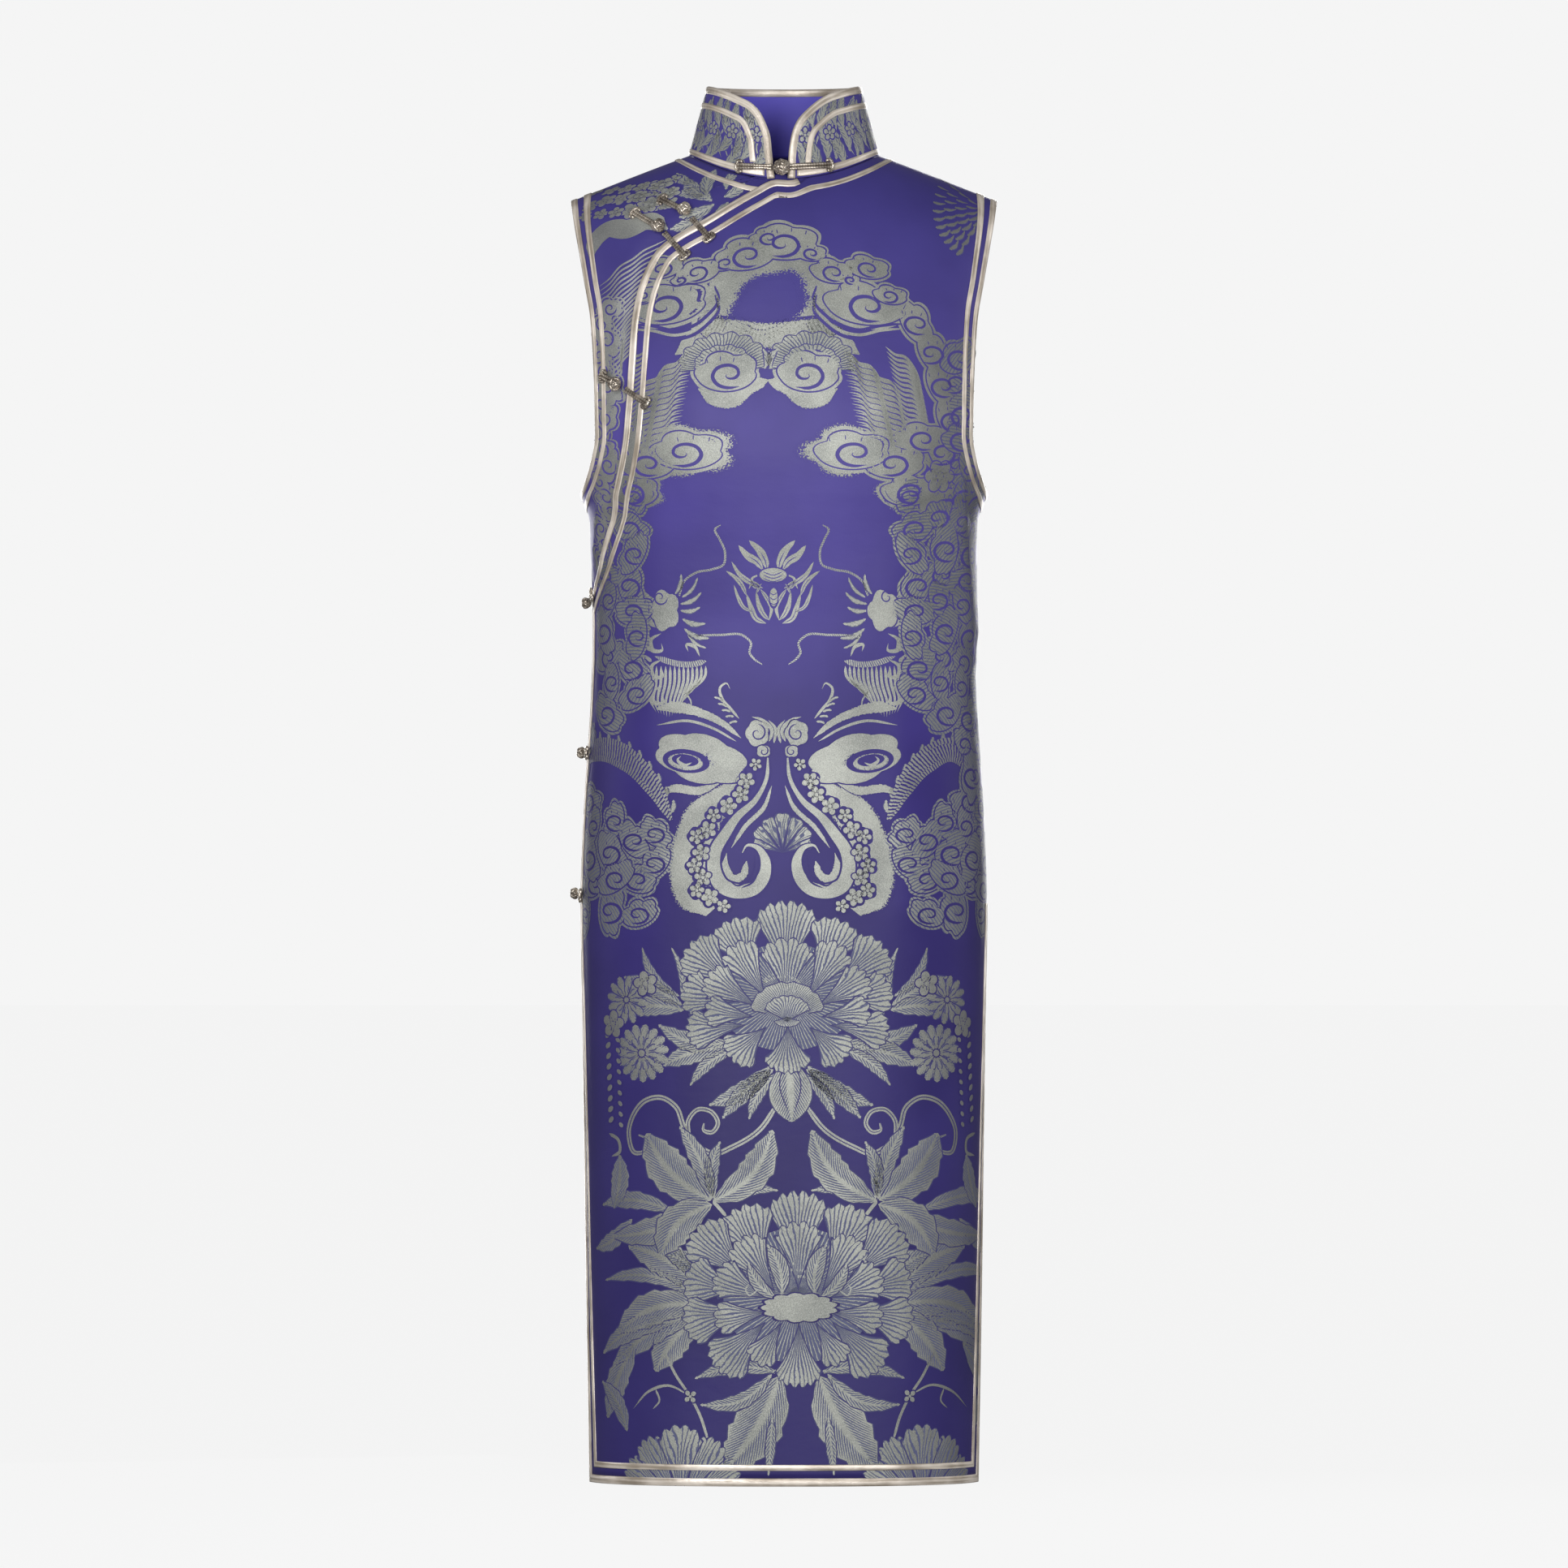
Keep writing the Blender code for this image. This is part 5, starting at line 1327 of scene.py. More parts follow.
def sideClouds(figures, mirror):
    # columns of large clouds down the sides, each tilted its own way
    begun = len(figures.parts)
    for column, (across, first, last) in enumerate(((172, 416, 690), (206, 424, 940), (232, 240, 940),
                                                    (247, 300, 950))):
        for k in range(int((last - first) / 34)):
            chance = (0.618 * (k + 7 * column)) % 1.0
            down = first + 34 * k + 14 * (column % 2) + 8 * chance
            if column < 2 and 700 < down < 806:
                continue
            cloud(figures, across + 9 * (chance - 0.5), down, 14.5 + 5 * chance, 1 if chance > 0.45 else -1,
                  mirror,
                  turn=200 * chance - 100, lobes=5 + k % 3, stretch=1.05 + 0.4 * ((1.37 * k) % 1.0),
                  level=3 + (k + column) % 3)
    for across, down, size, hand, turn in ((152, 828, 14, 1, 40), (154, 864, 15, 1, -50),
                                           (178, 884, 16, -1, 20),
                                           (176, 926, 15, 1, -20), (180, 836, 16, -1, 50)):
        cloud(figures, across, down, size, hand, mirror, turn=turn, lobes=6, stretch=1.15)
    quieten(figures, begun, 0.68)
    # a scaled band with a saw edge
    spine = drafted([(132, 812), (150, 776), (178, 742), (210, 726), (238, 752), (250, 800)], mirror)
    figures.ribbon(spine, [6, 17, 22, 20, 14, 8], 44, 2, fill=0.62, columns=9, taper=(0.5, 0.5), stripe=0.32)
    figures.ribbon(spine, [3, 9, 12, 10, 7, 4], 44, 3, fill=0.55, columns=7, taper=(0.5, 0.5), stripe=0.3)
    for k, at in enumerate(smoothLine(spine, 15)):
        figures.leaf(at + [0, 6], at + [4 * mirror * (k / 14 - 0.3), 17 - k / 5], 6, 0.1 * mirror, 1,
                     notch=0, fill=1.0,
                     rows=7, columns=5)
    for k in range(4):
        y0 = 552 + 32 * k
        curl = [(138, y0), (150, y0 + 8), (149, y0 + 20), (137, y0 + 20), (138, y0 + 12)]
        figures.stroke(curl, mirror, [1, 4.6, 1], 24, 1)
    for k in range(10):
        y0 = 540 + 13 * k
        spike = [(150, y0), (160, y0 - 6), (168, y0 + 2)]
        figures.stroke(spike, mirror, [3.6, 2.4, 0.8], 12, 1)


def flameFigure(figures):
    # a small crest of flames with whiskers, at the middle of the front
    strokes = [
        ([(-28, 471), (-15, 484), (-9, 496), (-7, 507)], 6.2),
        ([(-41, 477), (-30, 490), (-19, 497), (-12, 507)], 6.0),
        ([(-50, 497), (-40, 513), (-26, 523), (-13, 529)], 4.0),
        ([(-57, 508), (-46, 516), (-39, 524), (-33, 538)], 3.6),
        ([(-48, 525), (-43, 541), (-37, 552), (-26, 558)], 3.0),
        ([(-33, 536), (-28, 552), (-22, 566), (-10, 572)], 4.4),
        ([(-21, 534), (-18, 550), (-12, 562), (-6, 568)], 4.0),
        ([(-6, 568), (-3, 552), (-9, 540), (-16, 530)], 3.4),
        ([(-30, 530), (-25, 522), (-18, 527), (-22, 537)], 2.2),
        ([(-16, 512), (-26, 518), (-22, 528), (-14, 524)], 2.2),
    ]
    for line, width in strokes:
        for mirror in (1, -1):
            figures.stroke(line, mirror, [width * 0.4, width * 1.15, width * 0.75], 26, 3)
            figures.ribbon(drafted(line, mirror)[1:], [0.3, width * 0.16, 0.3], 16, 4, fill=0.0)
    figures.blob(drafted((0, 513)), (14, 7), 0, 0, 0, 4, 5, 30)
    for down in (509, 513, 517):
        figures.ribbon(drafted([(-12, down), (0, down + 4), (12, down)]), 0.7, 14, 5, fill=0.0)
    figures.blob(drafted((0, 540)), (4.6, 10), 0, 0, 0, 4, 5, 22)
    for down in (534, 540, 546):
        figures.ribbon(drafted([(-5, down), (0, down + 3), (5, down)]), 0.7, 8, 5, fill=0.0)
    for mirror in (1, -1):
        rope = [(62, 452), (69, 457), (64, 469), (58, 484), (60, 500), (74, 506), (94, 510), (109, 521),
                (115, 538)]
        figures.stroke(rope, mirror, 2.0, 80, 2, stripe=0.5, fill=0.8, taper=(0.4, 0.8))
        rope = [(98, 587), (66, 586), (38, 587), (29, 596), (31, 608), (25, 616), (16, 622)]
        figures.stroke(rope, mirror, 2.0, 80, 2, stripe=0.5, fill=0.8, taper=(0.4, 0.4))
        # tufts and the beard under them
        for bx, by, tx, ty, width in ((112, 540, 92, 516, 5), (114, 548, 88, 534, 6), (114, 556, 90, 552, 6),
                                      (112, 566, 84, 572, 7), (110, 578, 80, 590, 7), (120, 536, 112, 512, 6),
                                      (120, 560, 142, 548, 9), (122, 572, 146, 576, 9),
                                      (106, 584, 84, 602, 5)):
            figures.leaf(drafted((bx, by), mirror), drafted((tx, ty), mirror), width, 0.12 * mirror, 2,
                         notch=0.1,
                         fill=0.9, rows=12, columns=5)
        figures.blob(drafted((133, 556), mirror), (14, 18), 5, 0.12, 0, 3, 5, 32)
        figures.spiral(drafted((138, 540), mirror), 7, 1.3, 0, mirror, 1.1, 4)
        figures.stroke([(92, 612), (98, 600), (108, 598), (106, 606)], mirror, [1, 3.4, 1], 18, 3)
        figures.stroke([(84, 618), (104, 622), (124, 620), (146, 612)], mirror, 5.0, 30, 3, stripe=0.5,
                       fill=0.7)
        for k in range(13):
            x0 = 85 + 5.4 * k
            drop = 30 + 32 * math.sin(min(k, 9) * 0.19 + 0.1) - 1.2 * max(0, k - 8)
            hair = [(x0, 624), (x0 + 1, 624 + drop * 0.35), (x0 + 11 - 0.6 * k, 624 + drop * 0.7),
                    (x0 + 24 - 2.3 * k, 624 + drop)]
            figures.stroke(hair, mirror, [2.4, 2.7, 0.8], 22, 2)
        figures.stroke([(112, 655), (104, 668), (108, 684)], mirror, [1.6, 1.2, 0.5], 16, 2)


def scrollFigure(figures):
    # a pair of facing scrolls with blossoms in them, and a small palmette between
    for mirror in (1, -1):
        halo = [(44, 762), (66, 784), (92, 808), (106, 840), (112, 872), (106, 902), (88, 924)]
        figures.stroke(halo, mirror, [10, 26, 38, 40, 42, 40, 32], 70, 0, columns=17, taper=(0.5, 0.4))
        stippleEdge(figures, 1.0)
        body = [(12, 736), (14, 760), (28, 787), (52, 809), (66, 828), (80, 851), (82, 872), (73, 892),
                (54, 899),
                (34, 895), (21, 879), (20, 858), (29, 845), (41, 843), (47, 852)]
        widths = np.array([2.2, 3.0, 3.6, 5.2, 6.6, 8.5, 9.8, 10.8, 12.0, 12.4, 11.6, 10.4, 8.0, 5.7, 2.4])
        figures.stroke(body, mirror, widths + 3.4, 120, 3, columns=7, taper=(0.6, 0.3), fill=0.0)
        figures.stroke(body, mirror, widths, 120, 4, columns=7, taper=(0.6, 0.3))
        for inner in ([(66, 884), (54, 892), (42, 886), (33, 868), (32, 856)],
                      [(50, 895), (36, 888), (27, 872)]):
            figures.stroke(inner, mirror, [0.8, 1.7, 1.5, 0.6], 30, 5, fill=0.0)
        glow = [(42, 862), (48, 880), (58, 884), (68, 868), (66, 852)]
        figures.stroke(glow, mirror, [5, 8, 9, 7, 3], 30, 1, columns=9)
        stippleEdge(figures, 1.2)
        figures.stroke([(8, 770), (18, 796), (42, 820), (60, 846)], mirror, [2, 5, 5, 3], 30, 1, columns=7)
        stippleEdge(figures, 1.3)
        for across, down, size in ((27, 744, 5.5), (39, 764, 7.2), (46, 781, 7.2), (62, 795, 7.4),
                                   (80, 806, 6.2),
                                   (88, 824, 7.4), (102, 832, 6.6), (97, 852, 7.4), (106, 868, 6.6),
                                   (96, 882, 7.2),
                                   (104, 898, 6.4), (88, 906, 7.4), (72, 917, 6.0)):
            spot = drafted((across, down), mirror)
            figures.blob(spot, (size * 1.22, size * 1.22), 5, 0.1, 0, 2, 3, 30, fill=0.0, outline=False)
            figures.blossom(spot, size * 1.1, 6, 5, across * 7)
        figures.blob(drafted((24, 706), mirror), (11, 12), 5, 0.08, 0, 4, 5, 32)
        figures.spiral(drafted((24, 706), mirror), 8, 1.2, 90, mirror, 1.1, 5)
        figures.blob(drafted((17, 728), mirror), (7, 6), 4, 0.08, 0, 5, 4, 24)
        figures.spiral(drafted((17, 728), mirror), 4.6, 1.1, 90, mirror, 0.9, 6)
        for width, line in ((2.6, [(10, 716), (6, 704), (18, 690), (30, 686)]),
                            (2.0, [(4, 718), (2, 700), (10, 690)]),
                            (2.0, [(46, 688), (56, 676), (66, 664), (68, 650), (60, 645), (56, 652)])):
            figures.stroke(line, mirror, [width, width * 1.4, width * 0.6], 26, 4)
        for k in range(5):
            figures.leaf(drafted((48 + 4 * k, 692 - 6 * k), mirror),
                         drafted((58 + 4.4 * k, 694 - 8 * k), mirror), 3.6,
                         0.1 * mirror, 4, notch=0, fill=1.0, rows=7, columns=5)
        # the eye-shaped cloud
        figures.blob(drafted((94, 737), mirror), (43, 21), 6, 0.06, 14 * mirror, 2, 9, 60,
                     fade=(0.2, 0.6, 1, 1, 1))
        figures.blob(drafted((112, 740), mirror), (21, 10), 0, 0, 8 * mirror, 3, 4, 40, fill=0.0,
                     outline=False)
        figures.blob(drafted((113, 741), mirror), (18, 8), 0, 0, 8 * mirror, 4, 5, 40,
                     fade=(1, 0.9, 0.7, 0.4))
        figures.blob(drafted((113, 739), mirror), (12, 5), 0, 0, 8 * mirror, 5, 4, 30, fill=0.0,
                     outline=False)
        figures.stroke([(105, 742), (113, 745), (122, 738), (118, 734)], mirror, [1, 3, 1], 18, 6)
        brow = [(44, 712), (66, 694), (96, 680), (126, 674), (146, 676)]
        figures.stroke(brow, mirror, [3, 7, 9, 12, 12], 44, 1, columns=9)
        stippleEdge(figures, 1.2)
        brow = [(50, 716), (78, 700), (108, 691), (146, 696)]
        figures.stroke(brow, mirror, [1.6, 2.4, 2.0], 34, 3)
        figures.stroke([(66, 762), (96, 776), (130, 774), (150, 784)], mirror, [3, 9, 9, 4], 40, 1, columns=9)
        stippleEdge(figures, 1.2)
    spot = drafted((2, 852))
    for angle, length, level in ((22, 27, 2), (158, 27, 2), (42, 31, 3), (138, 31, 3), (66, 33, 4),
                                 (114, 33, 4),
                                 (90, 35, 5)):
        figures.petal(spot, angle, length, 15, level, 1, inner=0.5, strokes=6, rows=10, columns=13, belly=0.6)


def stippleEdge(figures, strength):
    # the last grid's edge thins out into dots on its outer side
    flat, thread, uv, level, wrap = figures.parts[-1]
    across = np.linspace(-1, 1, flat.shape[1])
    thread = thread.copy()
    thread[..., 3] = np.clip(1.25 - strength * np.abs(across) ** 2.5 * 1.2, 0, 1)
    figures.parts[-1] = (flat, thread, uv, level, wrap)


def sideLimit(z):
    # how far from the middle the cloth goes at each height, in flat mm, less what the binding hides
    way = slitEdge(z)
    reach = np.interp(way, wayTable, wayLength)
    return reach - np.where(z < body["slitTop"], 3.5, 0.15)


def inFront(place):
    edge = np.vstack([holes[-1][::-3], necks[-1][necks[-1][:, 0] > 8][::-4], placket[::3]])
    return (outsideOf(place, edge) < -2.5) & (place[:, 1] > body["hem"] + 3)


def inBack(place):
    edge = np.vstack([holes[1][::-3], necks[1][::-4], mirrored(necks[1])[3::4], mirrored(holes[1])[::3]])
    return (outsideOf(place, edge) < -2.5) & (place[:, 1] > body["hem"] + 3)


def inUnderlap(place):
    edge = np.vstack([mirrored(necks[-1])[::4], mirrored(holes[-1])[::3]])
    seen = outsideOf(place, coarsePlacket) > -9
    return (outsideOf(place, edge) < -2.5) & seen & (place[:, 1] > -400)


def underlapFigures(figures):
    # x and z in mm as seen from the front, on the wearer's right shoulder: leaves at the neck, blossoms, a
    # feathered crest and small clouds
    def seen(*points):
        return seenFromFront(np.array(points, float))

    for bx, bz, tx, tz, width, bend in ((-66, -34, -58, -10, 14, 0.1), (-64, -36, -84, -18, 14, 0.1),
                                        (-62, -38, -94, -32, 15, -0.1), (-60, -40, -90, -52, 14, 0.1),
                                        (-52, -34, -34, -22, 12, -0.1), (-68, -48, -98, -62, 14, 0.1),
                                        (-66, -52, -78, -72, 13, 0.1), (-50, -28, -38, -10, 11, 0.1),
                                        (-76, -24, -92, -14, 11, 0.1), (-48, -38, -56, -56, 12, -0.1)):
        figures.leaf(*seen((bx, bz), (tx, tz)), width, bend, 2, fill=0.75)
    for k in range(26):
        x, z = -96 - 4.4 * (k % 19), -20 - 9 * (k % 3) - 3 * ((0.618 * k) % 1.0) - 0.16 * 4.4 * (k % 19)
        figures.blossom(seen((x, z))[0], 7.5 + 3 * ((0.37 * k) % 1.0), 3 + k % 2, 5, 40 * k)
    cloudLine = [(-100, -62), (-118, -56), (-134, -62), (-150, -62), (-162, -72), (-166, -90)]
    figures.ribbon(seen(*cloudLine), [9, 19, 22, 20, 16, 9], 50, 1, columns=7)
    for k in range(22):
        z = -76 - 4.3 * k
        line = [(-100 - 1.0 * k, z + 6), (-110 - 0.9 * k, z + 1), (-120 - 0.7 * k, z - 4),
                (-130 - 0.5 * k, z - 12),
                (-140, z - 18), (-150, z - 29), (-160, z - 36)]
        figures.ribbon(seen(*line), [0.9, 1.7, 1.7, 1.0], 34, 2)
    for k in range(19):
        x, z = -149 - 11 * ((0.618 * k) % 1.0), -130 - 13.5 * k
        size = 9 + 4 * ((0.37 * k) % 1.0)
        spot = seen((x, z))[0]
        for grow, level, fill in ((3.0, 1, 1.0), (1.7, 2, 0.0), (0.0, 3, 1.0)):
            figures.blob(spot, (size * 1.2 + grow, size * 0.9 + grow), 5 + k % 2, 0.13, 60 * k, level, 4, 40,
                         fill=fill,
                         outline=False)
        figures.spiral(spot, size * 0.7, 1.3, 70 * k, 1 if k % 2 else -1, 1.3, 4)


def collarFigures(figures):
    # way round and height on the collar, in mm: fronds that lean both ways, buds and wavy stems
    for mirror in (1, -1):
        for k in range(27):
            x = mirror * (20 + 7.2 * k)
            lean = 6 * math.sin(k * 1.9)
            low = 7 + 5 * math.sin(k * 2.3)
            figures.leaf((x, low), (x + mirror * (8 + lean), low + 25), 11.5, 0.14, 2, fill=0.85, rows=18,
                         columns=7)
            figures.leaf((x + 3, 28 + lean), (x - mirror * (6 - lean), 55 + 3 * math.sin(k)), 11.5, -0.14, 3,
                         fill=0.85,
                         rows=16, columns=7)
            figures.ribbon(np.array([(x - 4, 8), (x + 2, 20), (x - 4, 34), (x + 4, 50)], float),
                           [1.0, 1.8, 0.8], 20, 1)
            if k % 3 == 1:
                figures.blossom((x + 3, 29), 6, 4, 5, 50 * k)
    figures.blossom((0, 30), 13, 3, 5, 90)


def makeWeave(looks):
    look = looks["thread"]
    front, inner, ring = Figures(), Figures(), Figures()
    for draw in (firstPeony, secondPeony, stemsAndLeaves, cloudFigures, flameFigure, scrollFigure,
                 shoulderFan):
        draw(front)
    low, high = Figures(), Figures()
    for part in front.parts:
        (low if part[0][..., 1].mean() < draft["splitZ"] else high).parts.append(part)
    for name, surface, outward, inside in (("front", frontSurface, 1, inFront),
                                           ("back", backSurface, -1, inBack)):
        weave(f"{name}_figures_low", low, surface, outward, sideLimit, look, inside, clothPlace)
        weave(f"{name}_figures_high", high, surface, outward, sideLimit, look, inside, clothPlace)
    underlapFigures(inner)
    # the underlap's figures take the brighter silver, painted light
    weave("underlap_figures", inner, underlapSurface, 1, sideLimit, looks["litShoulderThread"], inUnderlap,
          clothPlace)
    collarFigures(ring)
    edge = moveIn(collarSurface, collarEdge(), 3.0)[::3]
    weave("collar_figures", ring, collarSurface, -1, lambda height: np.full_like(height, 300.0),
          looks["collarThread"],
          lambda place: (outsideOf(place, edge) < 0) & (place[:, 1] > 2), lambda flat: flat)


def shoulderFan(figures):
    # a fan of long scales on the left shoulder, x and z in mm as seen from the front
    for ring in range(4):
        for k in range(5 + 2 * ring):
            angle = math.radians(140 + 100 * (k + 0.5) / (5 + 2 * ring))
            away = np.array((math.cos(angle), math.sin(angle)))
            near, tip = seenFromFront(np.array([(174, -46)]) + np.array([[7 + 9.5 * ring],
                                                                         [18 + 9.5 * ring]]) * away)
            figures.leaf(near, tip, 5.8, 0.12, 2, notch=0, fill=1.0, rows=8, columns=5, widest=0.62)


def newLook(name):
    look = bpy.data.materials.new(name)
    look.use_nodes = True
    return look, look.node_tree.nodes["Principled BSDF"]


colours = {
    # the violet ground by height in metres: painted shade and light, darker at the shoulders and toward the
    # hem and lightest over the chest
    "ground": [(-1.14, (0.036, 0.028, 0.150)), (-0.87, (0.037, 0.029, 0.151)), (-0.62, (0.042, 0.030, 0.185)),
               (-0.46, (0.048, 0.034, 0.216)), (-0.32, (0.094, 0.073, 0.335)), (-0.20, (0.090, 0.070, 0.315)),
               (-0.06, (0.056, 0.046, 0.232)), (0.02, (0.056, 0.046, 0.232))],
    "groundDeep": 0.80,
    "half": (0.105, 0.115, 0.215),
    "silver": (0.43, 0.44, 0.40),
    "silverDark": (0.19, 0.20, 0.19),
    # painted shade: the grey that the silver darkens toward at the sides
    "sideSilverShade": (0.13, 0.13, 0.15),
    # the satin bands' bright colour and the painted shade of their streaks
    "champagne": (0.95, 0.86, 0.76),
    "champagneShade": (0.36, 0.30, 0.235),
    "cord": (0.66, 0.59, 0.50),
    "cordDark": (0.20, 0.165, 0.14),
    "lining": [(-0.02, (0.065, 0.052, 0.27)), (0.08, (0.080, 0.064, 0.33))],
    # the collar's inner face: the collar colour made about twice as bright, painted light
    "inside": [(-0.02, (0.11, 0.09, 0.55)), (0.08, (0.13, 0.105, 0.66))],
}


class Nodes:
    # short ways to lay out a shader
    def __init__(self, look):
        self.tree = look.node_tree

    def put(self, kind, **values):
        node = self.tree.nodes.new(kind)
        for name, value in values.items():
            setattr(node, name, value)
        return node

    def join(self, source, target):
        self.tree.links.new(source, target)

    def math(self, operation, first, second=None):
        node = self.put("ShaderNodeMath", operation=operation)
        for k, value in enumerate((first, second)):
            if value is None:
                continue
            if isinstance(value, (int, float)):
                node.inputs[k].default_value = value
            else:
                self.join(value, node.inputs[k])
        return node.outputs[0]

    def split(self, vector):
        node = self.put("ShaderNodeSeparateXYZ")
        self.join(vector, node.inputs[0])
        return node.outputs

    def place(self, axis):
        return self.split(self.put("ShaderNodeTexCoord").outputs["Object"])[axis]

    def strip(self):
        return self.put("ShaderNodeUVMap", uv_map="cloth").outputs["UV"]

    def zigzag(self, value):
        # up and down between 0 and 1 once for each whole number
        return self.math("MULTIPLY", self.math("ABSOLUTE",
                                               self.math("SUBTRACT", self.math("FRACT", value), 0.5)), 2.0)

    def step(self, value, low, high):
        node = self.put("ShaderNodeMapRange", interpolation_type="SMOOTHSTEP")
        node.inputs["From Min"].default_value = low
        node.inputs["From Max"].default_value = high
        self.join(value, node.inputs["Value"])
        return node.outputs["Result"]

    def noise(self, scale, detail=2.0, stretch=(1, 1, 1)):
        place = self.put("ShaderNodeTexCoord")
        turn = self.put("ShaderNodeMapping")
        turn.inputs["Scale"].default_value = stretch
        self.join(place.outputs["Object"], turn.inputs["Vector"])
        node = self.put("ShaderNodeTexNoise")
        node.inputs["Scale"].default_value = scale
        node.inputs["Detail"].default_value = detail
        self.join(turn.outputs["Vector"], node.inputs["Vector"])
        return node.outputs["Fac"]

    def mix(self, share, first, second):
        node = self.put("ShaderNodeMix", data_type="RGBA")
        self.join(share, node.inputs["Factor"])
        for socket, value in ((node.inputs[6], first), (node.inputs[7], second)):
            if isinstance(value, tuple):
                socket.default_value = (*value, 1)
            else:
                self.join(value, socket)
        return node.outputs[2]

    def bump(self, height, reach, strength=1.0, base=None):
        node = self.put("ShaderNodeBump")
        node.inputs["Distance"].default_value = reach
        node.inputs["Strength"].default_value = strength
        self.join(height, node.inputs["Height"])
        if base is not None:
            self.join(base, node.inputs["Normal"])
        return node.outputs["Normal"]


def groundCloth(kit, which):
    # satin: the colour by height, which for the ground is painted shade, darker toward the hem and at the
    # shoulders, with soft blotches, and a bump of fine threads over slow ripples
    stops = colours[which]
    low, high = stops[0][0], stops[-1][0]
    share = kit.put("ShaderNodeMapRange")
    share.inputs["From Min"].default_value = low
    share.inputs["From Max"].default_value = high
    kit.join(kit.place("Z"), share.inputs["Value"])
    ramp = kit.put("ShaderNodeValToRGB")
    ramp.color_ramp.interpolation = "B_SPLINE"
    spots = ramp.color_ramp.elements
    for z, _ in stops[1:-1]:
        spots.new((z - low) / (high - low))
    for k, (z, colour) in enumerate(stops):
        spots[k].position, spots[k].color = (z - low) / (high - low), (*colour, 1)
    kit.join(share.outputs["Result"], ramp.inputs[0])
    blotch = kit.step(kit.noise(9.0, 3.0), 0.3, 0.7)
    deep = kit.put("ShaderNodeMix", data_type="RGBA", blend_type="MULTIPLY")
    kit.join(blotch, deep.inputs["Factor"])
    kit.join(ramp.outputs["Color"], deep.inputs[6])
    deep.inputs[7].default_value = (*[colours["groundDeep"]] * 3, 1)
    colour = deep.outputs[2]
    threads = kit.noise(1500.0, 1.0, (1, 1, 0.12))
    ripple = kit.bump(kit.noise(16.0, 2.0, (1, 1, 0.6)), 0.0022, 0.6)
    crinkle = kit.bump(kit.noise(85.0, 3.0, (0.8, 0.8, 1.4)), 0.0005, 0.45, ripple)
    return colour, kit.bump(threads, 0.00006, 0.6, crinkle)


def satinLook(name, which):
    look, cloth = newLook(name)
    kit = Nodes(look)
    colour, normal = groundCloth(kit, which)
    kit.join(colour, cloth.inputs["Base Color"])
    kit.join(normal, cloth.inputs["Normal"])
    cloth.inputs["Roughness"].default_value = 0.46
    cloth.inputs["Specular IOR Level"].default_value = 0.2
    cloth.inputs["Sheen Weight"].default_value = 0.08
    cloth.inputs["Sheen Roughness"].default_value = 0.4
    cloth.inputs["Sheen Tint"].default_value = (0.55, 0.52, 1.0, 1)
    return look


def threadLook(name, which, paintedLightGain=1.0):
    # fill, rim, half tone and stipple come with the mesh; the UV counts strokes
    look, cloth = newLook(name)
    kit = Nodes(look)
    ground, normal = groundCloth(kit, which)
    thread = kit.put("ShaderNodeAttribute", attribute_name="thread")
    parts = kit.split(thread.outputs["Vector"])
    wobble = kit.math("SUBTRACT", kit.noise(330.0, 3.0), 0.5)
    phase = kit.math("ADD", kit.split(kit.strip())["X"], kit.math("MULTIPLY", wobble, 0.55))
    stripe = kit.zigzag(phase)
    full = kit.math("SUBTRACT", kit.math("ADD", parts["X"], kit.math("MULTIPLY", wobble, 0.45)), stripe)
    lit = kit.step(full, -0.08, 0.10)
    plain = kit.step(parts["X"], 0.93, 0.99)
    lit = kit.math("MAXIMUM", lit, plain)
    inked = kit.math("GREATER_THAN", parts["X"], 0.02)
    inside = kit.step(kit.math("ADD", parts["Y"], kit.math("MULTIPLY", wobble, 0.06)), 0.085, 0.115)
    dots = kit.step(kit.math("SUBTRACT", thread.outputs["Alpha"], kit.noise(800.0, 1.0)), -0.10, 0.0)
    within = kit.math("MULTIPLY", kit.math("MULTIPLY", inside, dots), inked)
    silver = kit.math("MULTIPLY", lit, within)
    half = kit.math("MULTIPLY", kit.math("MULTIPLY", parts["Z"], kit.math("MULTIPLY", dots, inked)),
                    kit.math("ADD", 0.3, kit.math("MULTIPLY", inside, 0.7)))
    speck = kit.step(kit.noise(1900.0, 2.0, (1, 1, 0.5)), 0.30, 0.70)
    tone = kit.step(kit.noise(26.0, 2.0), 0.32, 0.68)
    # paintedLightGain brightens the silver: painted light, for thread that lies in brighter light
    dull, clear = (tuple(paintedLightGain * value for value in colours[word]) for word in ("silverDark", "silver"))
    bright = kit.mix(kit.math("ADD", kit.math("MULTIPLY", speck, 0.6), kit.math("MULTIPLY", tone, 0.4)),
                     dull, clear)
    # painted shade: the silver darkens toward the sides, where the cloth turns away from the light
    sideShade = kit.step(kit.math("ABSOLUTE", kit.place("X")), 0.08, 0.165)
    bright = kit.mix(kit.math("MULTIPLY", sideShade, 0.62), bright, colours["sideSilverShade"])
    under = kit.mix(half, ground, colours["half"])
    kit.join(kit.mix(silver, under, bright), cloth.inputs["Base Color"])
    kit.join(kit.math("MULTIPLY", silver, 0.5), cloth.inputs["Metallic"])
    rough = kit.math("ADD", 0.46, kit.math("MULTIPLY", silver, 0.04))
    kit.join(rough, cloth.inputs["Roughness"])
    kit.join(kit.math("ADD", 0.2, kit.math("MULTIPLY", silver, 0.3)), cloth.inputs["Specular IOR Level"])
    relief = kit.math("ADD", silver, kit.math("MULTIPLY", speck, 0.5))
    kit.join(kit.bump(relief, 0.00016, 0.8, normal), cloth.inputs["Normal"])
    return look


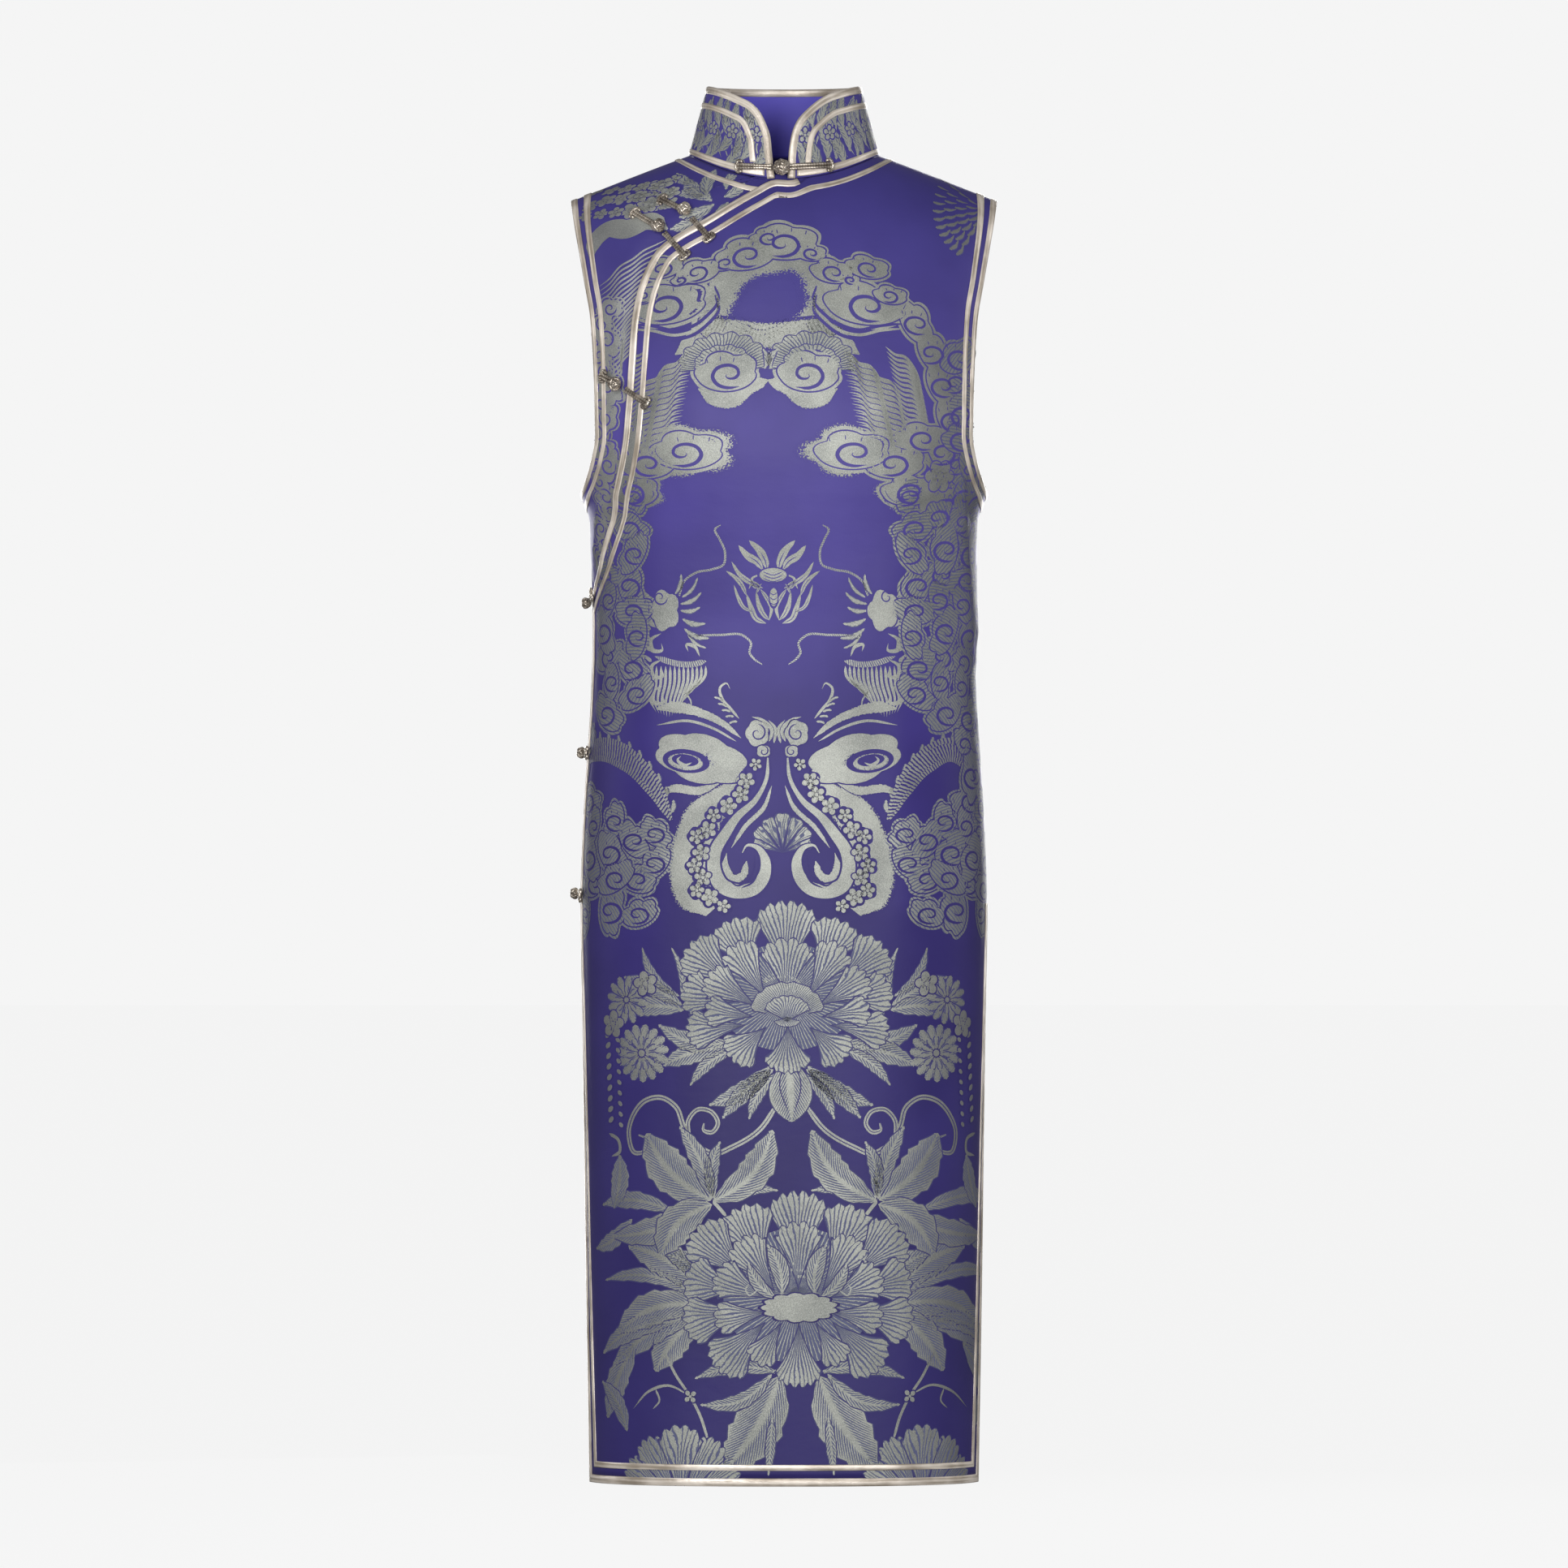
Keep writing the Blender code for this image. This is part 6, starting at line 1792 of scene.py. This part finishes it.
def bindingLook():
    # champagne satin with long streaks of painted sheen and painted shade along the strip
    look, cloth = newLook("satin")
    kit = Nodes(look)
    turn = kit.put("ShaderNodeMapping")
    turn.inputs["Scale"].default_value = (14.0, 420.0, 1.0)
    kit.join(kit.strip(), turn.inputs["Vector"])
    sheenStreak = kit.put("ShaderNodeTexNoise")
    sheenStreak.inputs["Scale"].default_value = 1.0
    sheenStreak.inputs["Detail"].default_value = 3.0
    kit.join(turn.outputs["Vector"], sheenStreak.inputs["Vector"])
    blotch = kit.step(kit.math("ADD", kit.math("MULTIPLY", sheenStreak.outputs["Fac"], 0.6),
                               kit.math("MULTIPLY", kit.noise(38.0, 3.0), 0.4)), 0.36, 0.64)
    # the streaks mix a painted shade with the bright champagne: painted sheen and shade along the satin
    kit.join(kit.mix(blotch, colours["champagneShade"], colours["champagne"]), cloth.inputs["Base Color"])
    ripple = kit.bump(kit.noise(190.0, 3.0), 0.0006, 0.5)
    kit.join(kit.bump(kit.noise(1600.0, 1.0), 0.00005, 0.6, ripple), cloth.inputs["Normal"])
    cloth.inputs["Roughness"].default_value = 0.36
    cloth.inputs["Metallic"].default_value = 0.30
    cloth.inputs["Sheen Weight"].default_value = 0.1
    return look


def cordLook():
    # twisted cord: the UV runs along and around it in metres
    look, cloth = newLook("cord")
    kit = Nodes(look)
    ways = kit.split(kit.strip())
    ply = kit.zigzag(kit.math("ADD", kit.math("MULTIPLY", ways["X"], 420.0),
                              kit.math("MULTIPLY", ways["Y"], 133.0)))
    # darker in the grooves between the plies, painted shade, and in random patches
    grooveShadeAndPatches = kit.math("ADD", kit.math("MULTIPLY", ply, 0.22), kit.math("MULTIPLY", kit.noise(130.0, 2.0), 0.9))
    kit.join(kit.mix(kit.step(grooveShadeAndPatches, 0.32, 0.78), colours["cordDark"], colours["cord"]),
             cloth.inputs["Base Color"])
    kit.join(kit.bump(ply, 0.00009, 0.6), cloth.inputs["Normal"])
    cloth.inputs["Roughness"].default_value = 0.27
    cloth.inputs["Metallic"].default_value = 0.7
    return look


def makeLooks():
    return {
        "brocade": satinLook("brocade", "ground"),
        "collar": satinLook("collar_cloth", "lining"),
        # a brighter copy of the collar's look for its inner face: painted light
        "inside": satinLook("collar_lining_painted_light", "inside"),
        "thread": threadLook("metal_thread", "ground"),
        # the underlap's silver made brighter: painted light
        "litShoulderThread": threadLook("shoulder_thread_painted_light", "ground", 1.5),
        "collarThread": threadLook("collar_thread", "lining"),
        "satin": bindingLook(),
        "cord": cordLook(),
    }


stage = {
    "away": 10.0,
    "wide": 1.3524,
    "centreZ": -0.5376,
    "floorZ": -1.30,
    "floor": (0.04, 0.04, 0.04),
    "floorGlow": 0.893,
    "backdrop": (0.913, 0.913, 0.913),
    "ambient": 0.17,
    "aimZ": -0.52,
    "spread": 100.0,
    # name, place in metres, width and height, watts
    "lights": [
        ("key", (-0.7, -3.0, 0.0), 1.2, 1.8, 17.5),
        ("fill", (0.9, -3.0, -0.5), 1.2, 1.8, 10.5),
        ("back_key", (0.7, 3.0, 0.0), 1.2, 1.8, 17.5),
        ("back_fill", (-0.9, 3.0, -0.5), 1.2, 1.8, 10.5),
        ("left", (3.4, 0.0, 0.4), 1.6, 2.0, 5.0),
        ("right", (-3.4, 0.0, 0.4), 1.6, 2.0, 5.0),
    ],
}


def makeStage():
    look, plain = newLook("studio_floor")
    plain.inputs["Base Color"].default_value = (*stage["floor"], 1)
    plain.inputs["Roughness"].default_value = 0.9
    plain.inputs["Specular IOR Level"].default_value = 0.0
    plain.inputs["Emission Color"].default_value = (1, 1, 1, 1)
    plain.inputs["Emission Strength"].default_value = stage["floorGlow"]
    mesh = bpy.data.meshes.new("studio_floor")
    reach = 30.0
    corners = [(-reach, -reach), (reach, -reach), (reach, reach), (-reach, reach)]
    mesh.from_pydata([(x, y, stage["floorZ"]) for x, y in corners], [], [(0, 1, 2, 3)])
    mesh.materials.append(look)
    floor = bpy.data.objects.new("studio_floor", mesh)
    bpy.context.collection.objects.link(floor)
    floor.visible_diffuse = False
    floor.visible_glossy = False

    # the world: a pale backdrop to look at, and a softer light than that on the cloth
    world = bpy.data.worlds.new("studio")
    bpy.context.scene.world = world
    world.use_nodes = True
    tree = world.node_tree
    pale = tree.nodes["Background"]
    pale.inputs["Color"].default_value = (*stage["backdrop"], 1)
    soft = tree.nodes.new("ShaderNodeBackground")
    soft.inputs["Color"].default_value = (1, 1, 1, 1)
    soft.inputs["Strength"].default_value = stage["ambient"]
    seen = tree.nodes.new("ShaderNodeLightPath")
    choose = tree.nodes.new("ShaderNodeMixShader")
    tree.links.new(seen.outputs["Is Camera Ray"], choose.inputs[0])
    tree.links.new(soft.outputs[0], choose.inputs[1])
    tree.links.new(pale.outputs[0], choose.inputs[2])
    tree.links.new(choose.outputs[0], tree.nodes["World Output"].inputs[0])
    for name, place, wide, high, watts in stage["lights"]:
        light = bpy.data.lights.new(name, "AREA")
        light.shape = "RECTANGLE"
        light.size, light.size_y, light.energy = wide, high, watts
        light.spread = math.radians(stage["spread"])
        lamp = bpy.data.objects.new(name, light)
        lamp.location = place
        toward = Vector((0, 0, stage["aimZ"])) - Vector(place)
        lamp.rotation_euler = toward.to_track_quat("-Z", "Y").to_euler()
        bpy.context.collection.objects.link(lamp)

    lens = bpy.data.cameras.new("photo_view")
    lens.sensor_width = 36.0
    lens.lens = 36.0 * stage["away"] / stage["wide"]
    lens.clip_start, lens.clip_end = 0.5, 80.0
    camera = bpy.data.objects.new("photo_view", lens)
    camera.location = (0, -stage["away"], stage["centreZ"])
    camera.rotation_euler = (math.pi / 2, 0, 0)
    bpy.context.collection.objects.link(camera)
    bpy.context.scene.camera = camera
    bpy.context.scene.view_settings.view_transform = "Standard"


print("looks")
looks = makeLooks()
print("cloth panels")
makeBack(looks)
makeFront(looks)
makeUnderlap(looks)
print("collar")
makeCollar(looks)
print("bands")
makeBands(looks)
print("frogs")
makeFrogs(looks)
print("woven figures")
makeWeave(looks)
print("stage and camera")
makeStage()
